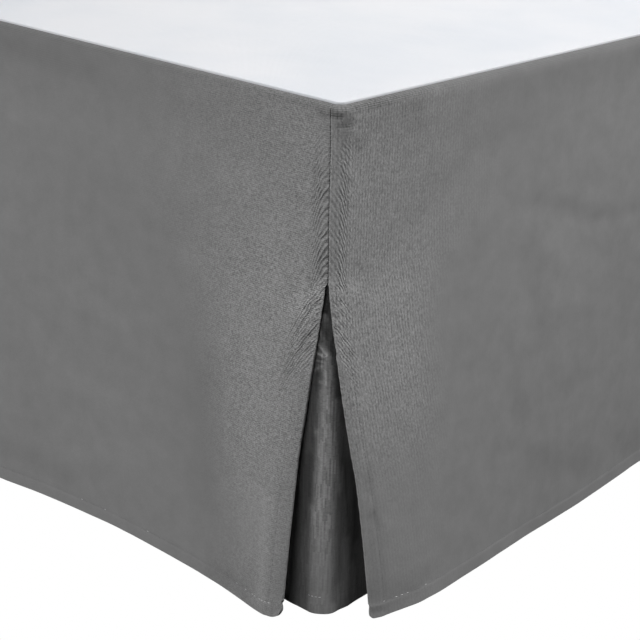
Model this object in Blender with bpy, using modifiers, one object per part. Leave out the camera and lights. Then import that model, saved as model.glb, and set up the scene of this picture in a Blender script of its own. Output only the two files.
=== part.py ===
"""Bed skirt on a box spring.

A tailored skirt for a queen bed. A flat deck lies on the box spring, and three
hemmed panels hang from its edges: one across the foot and one down each side.
At the two foot corners the neighbouring panels are sewn together for the first
third of their drop. Below that they hang free and swing out, and the split
shows an insert that is folded around the corner behind them. The head end is
open. Metres, +Z up, +Y towards the head of the bed.
"""

import math
from collections import namedtuple

import bmesh
import bpy
from mathutils import Matrix, Vector

# ---- The bed ----
BED_WIDTH = 1.524
BED_LENGTH = 2.032
DROP = 0.381
HEM_ABOVE_FLOOR = 0.003
DECK_TOP = HEM_ABOVE_FLOOR + DROP
GAP = 0.0003
DECK_SEAM_GAP = 0.0005
CORNER_SEAM_GAP = 0.0010

# ---- The cloth ----
CLOTH = 0.0015
HEM_THICKNESS = 0.003
HEM_DEPTH = 0.009
SIDE_HEM = 0.008
CORNER_RADIUS = 0.012

# The rolled edge where a panel turns down, and the seam that joins it to the deck.
SEAM_INSET = 0.006
ROLL_RADIUS = 0.005
ROLL_LIFT = 0.0007
ROLL_STEPS = 5

# The split at a foot corner. The seam above it lies on the foot's side of the corner.
SPLIT_DEPTH = 0.124
FOOT_TURN = math.radians(15.0)
SIDE_TURN = math.radians(90.0) - FOOT_TURN
UNROLL_DEPTH = 0.060
SWING_REACH = 0.45
SIDE_HEM_START = 0.050

# How far each panel's free edge has moved away from the seam line at each depth.
Split = namedtuple("Split", "depth foot side")
SPLIT_EDGES = (
    Split(0.124, 0.0000, 0.0000),
    Split(0.137, 0.0008, 0.0040),
    Split(0.154, 0.0022, 0.0074),
    Split(0.178, 0.0041, 0.0101),
    Split(0.210, 0.0067, 0.0132),
    Split(0.250, 0.0101, 0.0182),
    Split(0.300, 0.0117, 0.0260),
    Split(0.340, 0.0121, 0.0300),
    Split(0.381, 0.0123, 0.0322),
)

# A panel's loose folds: how far its hem stands out from the drop's plane, by the
# distance from the panel's left end, seen from outside.
Fold = namedtuple("Fold", "along out")
FLARE_START = 0.020
FLARE_REACH = 0.250
FLARE_EASE = 0.080
FOOT_FOLDS = (
    Fold(0.030, 0.021),
    Fold(0.065, 0.026),
    Fold(0.170, 0.015),
    Fold(0.300, 0.020),
    Fold(0.420, 0.027),
    Fold(0.560, 0.016),
    Fold(0.700, 0.012),
    Fold(0.860, 0.022),
    Fold(0.960, 0.018),
    Fold(1.090, 0.030),
    Fold(1.176, 0.027),
    Fold(1.222, 0.0205),
    Fold(1.268, 0.0160),
    Fold(1.314, 0.0130),
    Fold(1.386, 0.0140),
    Fold(1.434, 0.0170),
    Fold(1.459, 0.0205),
    Fold(1.484, 0.0240),
    Fold(1.494, 0.0225),
)
RIGHT_FOLDS = (
    Fold(0.028, 0.0225),
    Fold(0.043, 0.0272),
    Fold(0.058, 0.0298),
    Fold(0.078, 0.0322),
    Fold(0.100, 0.0324),
    Fold(0.150, 0.0300),
    Fold(0.205, 0.0269),
    Fold(0.264, 0.0246),
    Fold(0.328, 0.0213),
    Fold(0.398, 0.0162),
    Fold(0.500, 0.012),
    Fold(0.640, 0.020),
    Fold(0.780, 0.028),
    Fold(0.930, 0.019),
    Fold(1.060, 0.013),
    Fold(1.230, 0.022),
    Fold(1.390, 0.029),
    Fold(1.540, 0.020),
    Fold(1.690, 0.013),
    Fold(1.850, 0.019),
    Fold(2.032, 0.024),
)
LEFT_FOLDS = (
    Fold(0.000, 0.020),
    Fold(0.190, 0.014),
    Fold(0.370, 0.025),
    Fold(0.520, 0.029),
    Fold(0.690, 0.018),
    Fold(0.850, 0.012),
    Fold(1.020, 0.021),
    Fold(1.170, 0.028),
    Fold(1.320, 0.017),
    Fold(1.500, 0.014),
    Fold(1.680, 0.024),
    Fold(1.830, 0.0324),
    Fold(1.950, 0.029),
    Fold(2.002, 0.021),
)

# One end of a panel. A split end turns around a foot corner by an angle, swings
# with its column of SPLIT_EDGES, and has a rounded hem corner. A plain end is flat.
End = namedtuple("End", "turn edge tip")
PLAIN_END = End(0.0, None, 0.002)
FOOT_END = End(FOOT_TURN, "foot", 0.010)
SIDE_END = End(SIDE_TURN, "side", 0.003)

# Spacing of the cloth's columns and rows.
COLUMN_FIRST = 0.003
COLUMN_GROWTH = 1.28
COLUMN_MAX = 0.060
PLAIN_FIRST = 0.008
PLAIN_GROWTH = 2.0
DROP_DEPTHS = (0.020, 0.075, 0.124, 0.137, 0.154, 0.178, 0.210, 0.250, 0.300, 0.345, 0.371, 0.373, DROP)

# ---- The corner inserts ----
INSERT_INSET = 0.0023
INSERT_FOLD_RADIUS = 0.0137
INSERT_REACH = 0.140
INSERT_TOP = 0.008
INSERT_ARC_STEPS = 6
INSERT_LEG_MARKS = (0.010, 0.030, 0.060, 0.100, INSERT_REACH)
INSERT_DEPTHS = (INSERT_TOP, 0.060, 0.120, 0.180, 0.240, 0.300, 0.350, 0.371, 0.373, DROP)
INSERT_SWAY = 0.0025

# ---- The box spring and its legs ----
BOX_INSET = 0.006
BOX_HEIGHT = 0.210
BOX_CORNER = 0.025
BOX_EDGE = 0.008
LEG_TOP_RADIUS = 0.030
LEG_FOOT_RADIUS = 0.020
LEG_SIDES = 24
CORNER_LEG_INSET = 0.110
CENTRE_LEG_SPACING = 0.700

BOX_TOP = DECK_TOP - CLOTH - GAP
BOX_BOTTOM = BOX_TOP - BOX_HEIGHT

# ---- Finishes: colour, roughness ----
Finish = namedtuple("Finish", "color roughness")
GREY_CLOTH = Finish((0.165, 0.165, 0.167), 0.90)
WHITE_CLOTH = Finish((0.80, 0.81, 0.83), 0.85)
TICKING = Finish((0.62, 0.62, 0.60), 0.80)
BEECH = Finish((0.30, 0.19, 0.11), 0.45)


def smooth(t):
    """Ease from 0 to 1."""
    t = min(max(t, 0.0), 1.0)
    return t * t * (3.0 - 2.0 * t)


def mix(a, b, t):
    """Blend from a to b."""
    return a + (b - a) * t


def curve_through(points, x):
    """Read a smooth curve through (x, y) points, level beyond both ends."""
    if x <= points[0][0]:
        return points[0][1]
    if x >= points[-1][0]:
        return points[-1][1]
    i = next(k for k in range(1, len(points)) if x <= points[k][0])
    before, start, end, after = (points[max(min(k, len(points) - 1), 0)] for k in range(i - 2, i + 2))
    span = end[0] - start[0]
    slope_in = (end[1] - before[1]) / (end[0] - before[0])
    slope_out = (after[1] - start[1]) / (after[0] - start[0])
    t = (x - start[0]) / span
    return (
        start[1] * (1 + 2 * t) * (1 - t) ** 2
        + slope_in * span * t * (1 - t) ** 2
        + end[1] * t * t * (3 - 2 * t)
        - slope_out * span * t * t * (1 - t)
    )


def roll_profile():
    """List (inset, depth) of the rolled edge, from the deck's seam to the drop's plane."""
    lines = [(SEAM_INSET, -ROLL_LIFT)]
    for step in range(ROLL_STEPS + 1):
        angle = math.radians(90.0) * step / ROLL_STEPS
        inset = ROLL_RADIUS * (1.0 - math.sin(angle))
        depth = ROLL_RADIUS * (1.0 - math.cos(angle)) - ROLL_LIFT
        lines.append((inset, depth))
    return lines


def marks_from_end(length, first, growth):
    """List distances from a panel's end, in steps that grow up to COLUMN_MAX."""
    marks = [0.0]
    step = first
    while marks[-1] + step < length:
        marks.append(marks[-1] + step)
        step = min(step * growth, COLUMN_MAX)
    return marks


def swing(end, depth):
    """How far an end's free edge has moved from the seam line at a depth."""
    if end.edge is None:
        return 0.0
    return curve_through([(row.depth, getattr(row, end.edge)) for row in SPLIT_EDGES], depth)


class Panel:
    """A hung panel, seen from outside: x runs to the right and -y points out."""

    def __init__(self, width, left, right, folds):
        self.left = left
        self.right = right
        self.folds = folds
        self.width = width
        self.x_left = -width / 2 + (CORNER_RADIUS if left.turn else 0.0)
        self.x_right = width / 2 - (CORNER_RADIUS if right.turn else 0.0)
        self.left_arc = CORNER_RADIUS * left.turn
        self.length = self.left_arc + self.x_right - self.x_left + CORNER_RADIUS * right.turn

    def columns(self):
        """Distances along the cloth, close together at the split ends."""
        def marks(end):
            if end.turn:
                return marks_from_end(self.length / 2, COLUMN_FIRST, COLUMN_GROWTH)
            return marks_from_end(self.length / 2, PLAIN_FIRST, PLAIN_GROWTH)

        return marks(self.left) + [self.length - mark for mark in reversed(marks(self.right))]

    def split_distance(self, along):
        """Distance along the cloth to the nearer split end."""
        distances = [SWING_REACH]
        if self.left.turn:
            distances.append(along)
        if self.right.turn:
            distances.append(self.length - along)
        return min(distances)

    def base(self, along, depth):
        """Position in the drop's plane and the outward direction, around the corners too."""
        x = self.x_left + along - self.left_arc
        past_left = self.x_left - x
        past_right = x - self.x_right
        turned = 1.0 - smooth((depth - SPLIT_DEPTH) / UNROLL_DEPTH)
        if max(past_left, past_right) <= 0.0 or turned < 1e-4:
            return x, 0.0, 0.0
        radius = CORNER_RADIUS / turned
        side = 1.0 if past_right > 0.0 else -1.0
        angle = max(past_left, past_right) / radius
        tangent = self.x_right if past_right > 0.0 else self.x_left
        return tangent + side * radius * math.sin(angle), radius * (1.0 - math.cos(angle)), side * angle

    def stand_out(self, x, along, depth):
        """How far the cloth stands out from the drop's plane."""
        near = smooth(self.split_distance(along) / FLARE_REACH)
        start = mix(SPLIT_DEPTH, FLARE_START, near)
        t = max(depth - start, 0.0) / (DROP - start)
        growth = t * t * (1.0 + FLARE_EASE) / (t + FLARE_EASE)
        return growth * curve_through(self.folds, x + self.width / 2)

    def tip_rise(self, along, depth):
        """How far the hem's rounded corner lifts the cloth near a free edge."""
        rise = 0.0
        for end, distance in ((self.left, along), (self.right, self.length - along)):
            if distance < end.tip:
                rise += end.tip - math.sqrt(end.tip ** 2 - (end.tip - distance) ** 2)
        return rise * smooth((depth - DROP + 4 * HEM_DEPTH) / (4 * HEM_DEPTH))

    def point(self, along, inset, depth):
        """A point of the outer face."""
        moved = swing(self.left, depth) * (1.0 - smooth(along / SWING_REACH))
        moved -= swing(self.right, depth) * (1.0 - smooth((self.length - along) / SWING_REACH))
        x, inward, angle = self.base(along + moved, depth)
        out = self.stand_out(x, along, depth) - inset
        x += math.sin(angle) * out
        y = inward - math.cos(angle) * out
        return Vector((x, y, self.tip_rise(along, depth) - depth))

    def is_hem(self, along, depth):
        """Whether the cloth is turned back double here."""
        if depth > DROP - HEM_DEPTH:
            return True
        for end, distance in ((self.left, along), (self.right, self.length - along)):
            start = SPLIT_DEPTH + SIDE_HEM_START if end.turn else ROLL_RADIUS
            if distance <= SIDE_HEM and depth > start:
                return True
        return False


def add_material(obj, finish):
    """Give an object its own material."""
    material = bpy.data.materials.new(obj.name)
    material.use_nodes = True
    shader = material.node_tree.nodes["Principled BSDF"]
    shader.inputs["Base Color"].default_value = (*finish.color, 1.0)
    shader.inputs["Roughness"].default_value = finish.roughness
    shader.inputs["Metallic"].default_value = 0.0
    obj.data.materials.append(material)


def add_object(name, bm, finish, collection, frame):
    """Turn a bmesh into a named object under the frame."""
    mesh = bpy.data.meshes.new(name)
    bm.to_mesh(mesh)
    bm.free()
    obj = bpy.data.objects.new(name, mesh)
    collection.objects.link(obj)
    obj.parent = frame
    add_material(obj, finish)
    return obj


def add_sheet(name, columns, rows, point, is_hem, collection, frame):
    """Build a sheet of grey cloth from a grid, thickened inwards and doubled at its hems.

    columns are distances along the cloth, and rows are (inset, depth) lines.
    """
    bm = bmesh.new()
    across = len(columns) - 1
    down = len(rows) - 1
    bmesh.ops.create_grid(bm, x_segments=across, y_segments=down, size=1.0)
    hem = []
    for vert in bm.verts:
        along = columns[round((vert.co.x + 1.0) / 2.0 * across)]
        inset, depth = rows[round((1.0 - vert.co.y) / 2.0 * down)]
        vert.co = point(along, inset, depth)
        hem.append(is_hem(along, depth))
    obj = add_object(name, bm, GREY_CLOTH, collection, frame)
    group = obj.vertex_groups.new(name="hem")
    group.add([index for index, double in enumerate(hem) if double], 1.0, "REPLACE")
    obj.data.shade_smooth()
    thicken = obj.modifiers.new("cloth", "SOLIDIFY")
    thicken.thickness = HEM_THICKNESS
    thicken.offset = -1.0
    thicken.use_even_offset = True
    thicken.vertex_group = group.name
    thicken.thickness_vertex_group = CLOTH / HEM_THICKNESS
    return obj


def add_panel(name, panel, edge, heading, collection, frame):
    """Hang a panel with the middle of its drop's plane on an edge of the bed."""
    rows = roll_profile() + [(0.0, depth) for depth in DROP_DEPTHS]
    columns = panel.columns()
    columns[0] += CORNER_SEAM_GAP / 2 if panel.left.turn else 0.0
    columns[-1] -= CORNER_SEAM_GAP / 2 if panel.right.turn else 0.0
    obj = add_sheet(name, columns, rows, panel.point, panel.is_hem, collection, frame)
    obj.location = (edge[0], edge[1], DECK_TOP)
    obj.rotation_euler.z = heading


def insert_point(along, inset, depth):
    """A point on an insert's outer face, with the bed's sharp corner at the origin.

    along runs from the foot's leg, through 0 at the middle of the fold, to the side's leg.
    """
    radius = INSERT_FOLD_RADIUS
    half_arc = radius * math.radians(45.0)
    angle = math.radians(45.0) + max(min(along, half_arc), -half_arc) / radius
    x = radius * (math.sin(angle) - 1.0) - inset + min(along + half_arc, 0.0)
    y = radius * (1.0 - math.cos(angle)) + inset + max(along - half_arc, 0.0)
    sway = INSERT_SWAY * smooth((depth - 0.20) / 0.18) * math.sin(14.0 * along) ** 2
    return Vector((x - sway * math.sin(angle), y + sway * math.cos(angle), -depth))


def add_insert(name, corner, heading, collection, frame):
    """Fold an insert around a foot corner, behind the two panels."""
    half_arc = INSERT_FOLD_RADIUS * math.radians(45.0)
    arc = [half_arc * (2.0 * step / INSERT_ARC_STEPS - 1.0) for step in range(INSERT_ARC_STEPS + 1)]
    leg = [half_arc + mark for mark in INSERT_LEG_MARKS]
    columns = [-mark for mark in reversed(leg)] + arc + leg
    rows = [(INSERT_INSET, depth) for depth in INSERT_DEPTHS]

    def is_hem(along, depth):
        return depth > DROP - HEM_DEPTH

    obj = add_sheet(name, columns, rows, insert_point, is_hem, collection, frame)
    obj.location = (corner[0], corner[1], DECK_TOP)
    obj.rotation_euler.z = heading


def rounded_block(size, corner_edges, corner_radius, segments):
    """A block about the origin, with some of its upright edges rounded."""
    bm = bmesh.new()
    bmesh.ops.create_cube(bm, size=1.0, matrix=Matrix.Diagonal((*size, 1.0)))
    upright = [
        edge
        for edge in bm.edges
        if abs(edge.verts[0].co.z - edge.verts[1].co.z) > size[2] / 2 and corner_edges(edge.verts[0].co)
    ]
    bmesh.ops.bevel(
        bm,
        geom=upright,
        offset=corner_radius,
        offset_type="OFFSET",
        segments=segments,
        profile=0.5,
        affect="EDGES",
        material=-1,
    )
    return bm


def add_deck(collection, frame):
    """Lay the deck: flat, round at its two foot corners, square at the head."""
    inset = SEAM_INSET + DECK_SEAM_GAP
    size = (BED_WIDTH - 2 * inset, BED_LENGTH - inset, CLOTH)
    bm = rounded_block(size, lambda co: co.y < 0.0, CORNER_RADIUS - inset, 5)
    obj = add_object("deck", bm, WHITE_CLOTH, collection, frame)
    obj.location = (0.0, inset / 2, DECK_TOP - CLOTH / 2)


def add_box_spring(collection, frame):
    """Build the box spring with rounded corners and softened rims."""
    size = (BED_WIDTH - 2 * BOX_INSET, BED_LENGTH - 2 * BOX_INSET, BOX_HEIGHT)
    bm = rounded_block(size, lambda co: True, BOX_CORNER, 5)
    rims = [edge for edge in bm.edges if abs(edge.verts[0].co.z - edge.verts[1].co.z) < 1e-6]
    bmesh.ops.bevel(
        bm,
        geom=rims,
        offset=BOX_EDGE,
        offset_type="OFFSET",
        segments=3,
        profile=0.5,
        affect="EDGES",
        material=-1,
    )
    obj = add_object("box_spring", bm, TICKING, collection, frame)
    obj.location = (0.0, 0.0, BOX_BOTTOM + BOX_HEIGHT / 2)


def add_legs(collection, frame):
    """Stand the box spring on a leg near each corner and two along its middle."""
    x = BED_WIDTH / 2 - CORNER_LEG_INSET
    y = BED_LENGTH / 2 - CORNER_LEG_INSET
    places = [(side * x, end * y) for end in (-1, 1) for side in (-1, 1)]
    places += [(0.0, end * CENTRE_LEG_SPACING / 2) for end in (-1, 1)]
    height = BOX_BOTTOM - GAP
    for number, (leg_x, leg_y) in enumerate(places, start=1):
        bm = bmesh.new()
        bmesh.ops.create_cone(
            bm,
            cap_ends=True,
            segments=LEG_SIDES,
            radius1=LEG_FOOT_RADIUS,
            radius2=LEG_TOP_RADIUS,
            depth=height,
        )
        obj = add_object(f"leg_{number}", bm, BEECH, collection, frame)
        obj.data.set_sharp_from_angle(angle=math.radians(30.0))
        obj.location = (leg_x, leg_y, height / 2)


def centre_over_origin(frame, collection):
    """Shift the frame so that the pieces' bounding box is centred over the origin."""
    bpy.context.view_layer.update()
    depsgraph = bpy.context.evaluated_depsgraph_get()
    corners = [
        obj.matrix_world @ Vector(corner)
        for obj in collection.objects
        if obj.type == "MESH"
        for corner in obj.evaluated_get(depsgraph).bound_box
    ]
    for axis in (0, 1):
        low = min(corner[axis] for corner in corners)
        high = max(corner[axis] for corner in corners)
        frame.location[axis] -= (low + high) / 2


def main():
    """Build the bed skirt and what it hangs over."""
    for obj in list(bpy.data.objects):
        bpy.data.objects.remove(obj, do_unlink=True)
    collection = bpy.data.collections.new("bed_skirt")
    bpy.context.scene.collection.children.link(collection)
    frame = bpy.data.objects.new("bed_skirt_frame", None)
    collection.objects.link(frame)

    half_width = BED_WIDTH / 2
    half_length = BED_LENGTH / 2
    quarter = math.radians(90.0)
    add_deck(collection, frame)
    foot = Panel(BED_WIDTH, FOOT_END, FOOT_END, FOOT_FOLDS)
    right = Panel(BED_LENGTH, SIDE_END, PLAIN_END, RIGHT_FOLDS)
    left = Panel(BED_LENGTH, PLAIN_END, SIDE_END, LEFT_FOLDS)
    add_panel("foot_panel", foot, (0.0, -half_length), 0.0, collection, frame)
    add_panel("side_panel_right", right, (half_width, 0.0), quarter, collection, frame)
    add_panel("side_panel_left", left, (-half_width, 0.0), -quarter, collection, frame)
    add_insert("corner_insert_right", (half_width, -half_length), 0.0, collection, frame)
    add_insert("corner_insert_left", (-half_width, -half_length), -quarter, collection, frame)
    add_box_spring(collection, frame)
    add_legs(collection, frame)
    centre_over_origin(frame, collection)


main()
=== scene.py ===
"""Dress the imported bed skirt: its cloth and sewing, the box spring and the legs.

Lengths are in metres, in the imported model's frame. The foot of the bed faces -Y. A panel
is described as seen from outside: along runs to the right from its left end, measured on
the cloth, and depth runs down from the deck.
"""

import logging
import math
from dataclasses import dataclass, field
from enum import Enum
from typing import Callable, Iterator, Optional, Sequence, Union

import bmesh
import bpy
from mathutils import Matrix, Vector, noise


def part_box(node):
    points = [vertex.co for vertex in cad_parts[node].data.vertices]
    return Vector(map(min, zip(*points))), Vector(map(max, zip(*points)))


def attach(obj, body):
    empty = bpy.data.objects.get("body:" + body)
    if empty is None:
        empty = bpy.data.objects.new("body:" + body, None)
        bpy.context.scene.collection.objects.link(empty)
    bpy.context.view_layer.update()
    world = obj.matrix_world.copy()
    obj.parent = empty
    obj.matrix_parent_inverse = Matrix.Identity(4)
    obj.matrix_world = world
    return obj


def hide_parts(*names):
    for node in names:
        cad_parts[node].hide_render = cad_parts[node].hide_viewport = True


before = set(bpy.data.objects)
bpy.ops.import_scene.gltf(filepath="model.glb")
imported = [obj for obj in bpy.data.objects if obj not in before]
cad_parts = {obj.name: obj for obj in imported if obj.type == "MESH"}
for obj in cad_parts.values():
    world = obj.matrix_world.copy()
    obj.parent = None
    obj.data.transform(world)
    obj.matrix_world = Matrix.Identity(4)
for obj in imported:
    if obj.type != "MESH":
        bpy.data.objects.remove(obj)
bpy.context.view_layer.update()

BODY = "root"
QUARTER = math.radians(90.0)
TURN = math.radians(360.0)
LOG = logging.getLogger("bed_skirt")

Colour = tuple[float, float, float]


# ---- Curves ----


def smooth(t: float) -> float:
    """Ease from 0 to 1."""
    t = min(max(t, 0.0), 1.0)
    return t * t * (3.0 - 2.0 * t)


def mix(a: float, b: float, t: float) -> float:
    """Blend from a to b."""
    return a + (b - a) * t


def fade(x: float, start: float, reach: float) -> float:
    """Ease from 1 at a start to 0 a reach beyond it."""
    return 1.0 - smooth((x - start) / reach)


def bell(distance: float, width: float) -> float:
    """Rise to 1 at no distance, and fade to 0 over a few widths."""
    return math.exp(-((distance / width) ** 2))


def ripple(point: Sequence[float], seed: float) -> float:
    """Even noise between about -1 and 1."""
    return noise.noise(Vector((point[0], point[1], seed)))


def curve_through(points: Sequence[tuple[float, float]], x: float) -> float:
    """Read a smooth curve through points, level beyond both ends.

    Args:
        points: The (x, y) points, in order of x.
        x: Where to read the curve.

    Returns:
        The curve's height.
    """
    if x <= points[0][0]:
        return points[0][1]
    if x >= points[-1][0]:
        return points[-1][1]
    i = next(k for k in range(1, len(points)) if x <= points[k][0])
    before, start, end, after = (points[max(min(k, len(points) - 1), 0)] for k in range(i - 2, i + 2))
    span = end[0] - start[0]
    slope_in = (end[1] - before[1]) / (end[0] - before[0])
    slope_out = (after[1] - start[1]) / (after[0] - start[0])
    t = (x - start[0]) / span
    return (
        start[1] * (1 + 2 * t) * (1 - t) ** 2
        + slope_in * span * t * (1 - t) ** 2
        + end[1] * t * t * (3 - 2 * t)
        - slope_out * span * t * t * (1 - t)
    )


@dataclass(frozen=True)
class Spacing:
    """How marks are spread over a length, close together at its start.

    fine is the first step and is kept over fine_length. Later steps grow by a ratio, up to
    the widest. Without a fine_length, all steps are alike.
    """

    fine: float
    fine_length: float = math.inf
    growth: float = 1.0
    widest: float = math.inf

    def marks(self, length: float) -> list[float]:
        """Space marks along a length.

        Args:
            length: Where to stop.

        Returns:
            Distances from the start, from 0 up to below the length.
        """
        marks = [0.0]
        step = self.fine
        while marks[-1] + step < length:
            marks.append(marks[-1] + step)
            if marks[-1] >= self.fine_length:
                step = min(step * self.growth, self.widest)
        return marks

    def from_both_ends(self, length: float, far: Optional["Spacing"] = None) -> list[float]:
        """Space marks along a length, close together at both its ends.

        Args:
            length: The whole length.
            far: The spacing at the far end, where it differs.

        Returns:
            Distances from the start, from 0 to the length.
        """
        back = [length - mark for mark in reversed((far or self).marks(length / 2))]
        return self.marks(length / 2) + back


@dataclass(frozen=True)
class Window:
    """A stretch that fades in from start to full, and out again from waning to end."""

    start: float
    full: float
    waning: float
    end: float

    def share(self, x: float) -> float:
        """How far the window is open at a point."""
        opened = smooth((x - self.start) / (self.full - self.start))
        return opened * (1.0 - smooth((x - self.waning) / (self.end - self.waning)))


# ---- Shader maths ----


class Field:
    """A value that varies over a surface, with Python's operators."""

    def __init__(self, shader: "Shader", socket: bpy.types.NodeSocket) -> None:
        """Wrap a node's output socket."""
        self.shader = shader
        self.socket = socket

    def maths(self, operation: str, *values: "Input") -> "Field":
        """Add a Math node that reads the values in order."""
        return self.shader.node("ShaderNodeMath", {"operation": operation}, dict(enumerate(values)))

    def __add__(self, other: "Input") -> "Field":
        """Add."""
        return self.maths("ADD", self, other)

    __radd__ = __add__

    def __sub__(self, other: "Input") -> "Field":
        """Take away."""
        return self.maths("SUBTRACT", self, other)

    def __rsub__(self, other: "Input") -> "Field":
        """Take away from."""
        return self.maths("SUBTRACT", other, self)

    def __mul__(self, other: "Input") -> "Field":
        """Multiply."""
        return self.maths("MULTIPLY", self, other)

    __rmul__ = __mul__

    def __truediv__(self, other: "Input") -> "Field":
        """Divide."""
        return self.maths("DIVIDE", self, other)

    def sine(self) -> "Field":
        """Take the sine."""
        return self.maths("SINE", self)

    def whole(self) -> "Field":
        """Round down to a whole number."""
        return self.maths("FLOOR", self)

    def step_between(self, low: float, high: float) -> "Field":
        """Ease from 0 at low to 1 at high.

        Args:
            low: Where the step starts.
            high: Where it ends.

        Returns:
            The eased step.
        """
        settings = {"interpolation_type": "SMOOTHSTEP"}
        values = {"Value": self, "From Min": low, "From Max": high}
        return self.shader.node("ShaderNodeMapRange", settings, values)

    def step_down(self, high: float, low: float) -> "Field":
        """Ease from 1 at high to 0 at low."""
        return 1.0 - self.step_between(high, low)

    def window(self, window: Window) -> "Field":
        """How far a window is open."""
        return self.step_between(window.start, window.full) * self.step_down(window.waning, window.end)

    def stretched(self, x: float, y: float, z: float) -> "Field":
        """Scale a vector along its axes."""
        return self.shader.node("ShaderNodeVectorMath", {"operation": "MULTIPLY"}, {0: self, 1: (x, y, z)})

    def split(self) -> tuple["Field", "Field", "Field"]:
        """Read a vector's three parts."""
        parts = self.shader.add("ShaderNodeSeparateXYZ", {}, {0: self})
        return tuple(Field(self.shader, output) for output in parts.outputs)


Input = Union[Field, float, tuple]


class Shader:
    """A node material under construction."""

    def __init__(self, name: str) -> None:
        """Start a material with only its Principled shader.

        Args:
            name: The material's name.
        """
        self.material = bpy.data.materials.new(name)
        self.material.use_nodes = True
        self.tree = self.material.node_tree
        self.surface = self.tree.nodes["Principled BSDF"]

    def add(self, kind: str, settings: dict, values: dict) -> bpy.types.Node:
        """Add a node.

        Args:
            kind: The node's type.
            settings: Its properties.
            values: Links or constants for its inputs, by name or number.

        Returns:
            The node.
        """
        node = self.tree.nodes.new(kind)
        for name, value in settings.items():
            setattr(node, name, value)
        for key, value in values.items():
            self.feed(node.inputs[key], value)
        return node

    def node(self, kind: str, settings: dict, values: dict, output: Union[int, str] = 0) -> Field:
        """Add a node and wrap one of its outputs."""
        return Field(self, self.add(kind, settings, values).outputs[output])

    def feed(self, socket: bpy.types.NodeSocket, value: Input) -> None:
        """Link or set an input.

        Args:
            socket: The input.
            value: A field to link, or a constant.
        """
        if isinstance(value, Field):
            self.tree.links.new(value.socket, socket)
        else:
            socket.default_value = value

    def weave_map(self) -> Field:
        """Read the distance along the cloth and its depth, in metres."""
        return self.node("ShaderNodeUVMap", {"uv_map": Sheet.WEAVE_MAP}, {})

    def mark(self, name: str) -> Field:
        """Read one of a piece's own measures."""
        return self.node("ShaderNodeAttribute", {"attribute_name": name}, {}, "Fac")

    def place(self) -> Field:
        """Read the place on the object, in metres."""
        return self.node("ShaderNodeTexCoord", {}, {}, "Object")

    def noise(self, vector: Field, scale: float, detail: float, roughness: float) -> Field:
        """Add even noise, centred on 0."""
        values = {"Vector": vector, "Scale": scale, "Detail": detail, "Roughness": roughness}
        return self.node("ShaderNodeTexNoise", {}, values, "Fac") - 0.5

    def streaks(self, across: Field, down: Field) -> Field:
        """Add even noise that runs in streaks, from distances measured in their widths and lengths."""
        spot = self.node("ShaderNodeCombineXYZ", {}, {"X": across, "Y": down})
        return self.noise(spot, scale=1.0, detail=1.0, roughness=0.5)

    def draw_lots(self, number: Field) -> Field:
        """Turn each number into an unrelated one, centred on 0."""
        return self.node("ShaderNodeTexWhiteNoise", {"noise_dimensions": "1D"}, {"W": number}, "Value") - 0.5

    def yarns(self, across: Field, down: Field, yarn: "Yarn") -> Field:
        """Give every short length of yarn its own tone.

        Args:
            across: Distance across the yarns.
            down: Distance along the yarns.
            yarn: The yarns' sizes and contrast.

        Returns:
            A tone centred on 0.
        """
        number = (across / yarn.width).whole()
        part = (down / yarn.length + self.draw_lots(number) * 8.0).whole()
        return self.draw_lots(number * 61.7 + part * 0.913) * yarn.contrast

    def tint(self, colour: Colour, strength: Field) -> Field:
        """Scale a colour."""
        return self.node("ShaderNodeVectorMath", {"operation": "SCALE"}, {0: colour, "Scale": strength})

    def blend(self, first: Input, second: Input, share: Input) -> Field:
        """Blend two colours.

        Args:
            first: The colour where the share is 0.
            second: The colour where it is 1.
            share: The second colour's share.

        Returns:
            The blended colour.
        """
        colours = [value if isinstance(value, Field) else (*value, 1.0) for value in (first, second)]
        values = {0: share, 6: colours[0], 7: colours[1]}
        return self.node("ShaderNodeMix", {"data_type": "RGBA"}, values, 2)

    def finish(self, colour: Input, roughness: Input, height: Optional[Field] = None,
               specular: float = 0.3) -> bpy.types.Material:
        """Connect the surface.

        Args:
            colour: The base colour.
            roughness: The roughness.
            height: Relief in metres, for the bump.
            specular: The strength of the dull reflection.

        Returns:
            The material.
        """
        self.feed(self.surface.inputs["Base Color"], colour if isinstance(colour, Field) else (*colour, 1.0))
        self.feed(self.surface.inputs["Roughness"], roughness)
        self.surface.inputs["Specular IOR Level"].default_value = specular
        if height is not None:
            bump = self.node("ShaderNodeBump", {}, {"Strength": 1.0, "Distance": 1.0, "Height": height})
            self.feed(self.surface.inputs["Normal"], bump)
        return self.material


# ---- Finishes ----


@dataclass(frozen=True)
class Yarn:
    """One set of yarns: a yarn's width, how long it keeps its tone, and how far tones differ."""

    width: float
    length: float
    contrast: float


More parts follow.
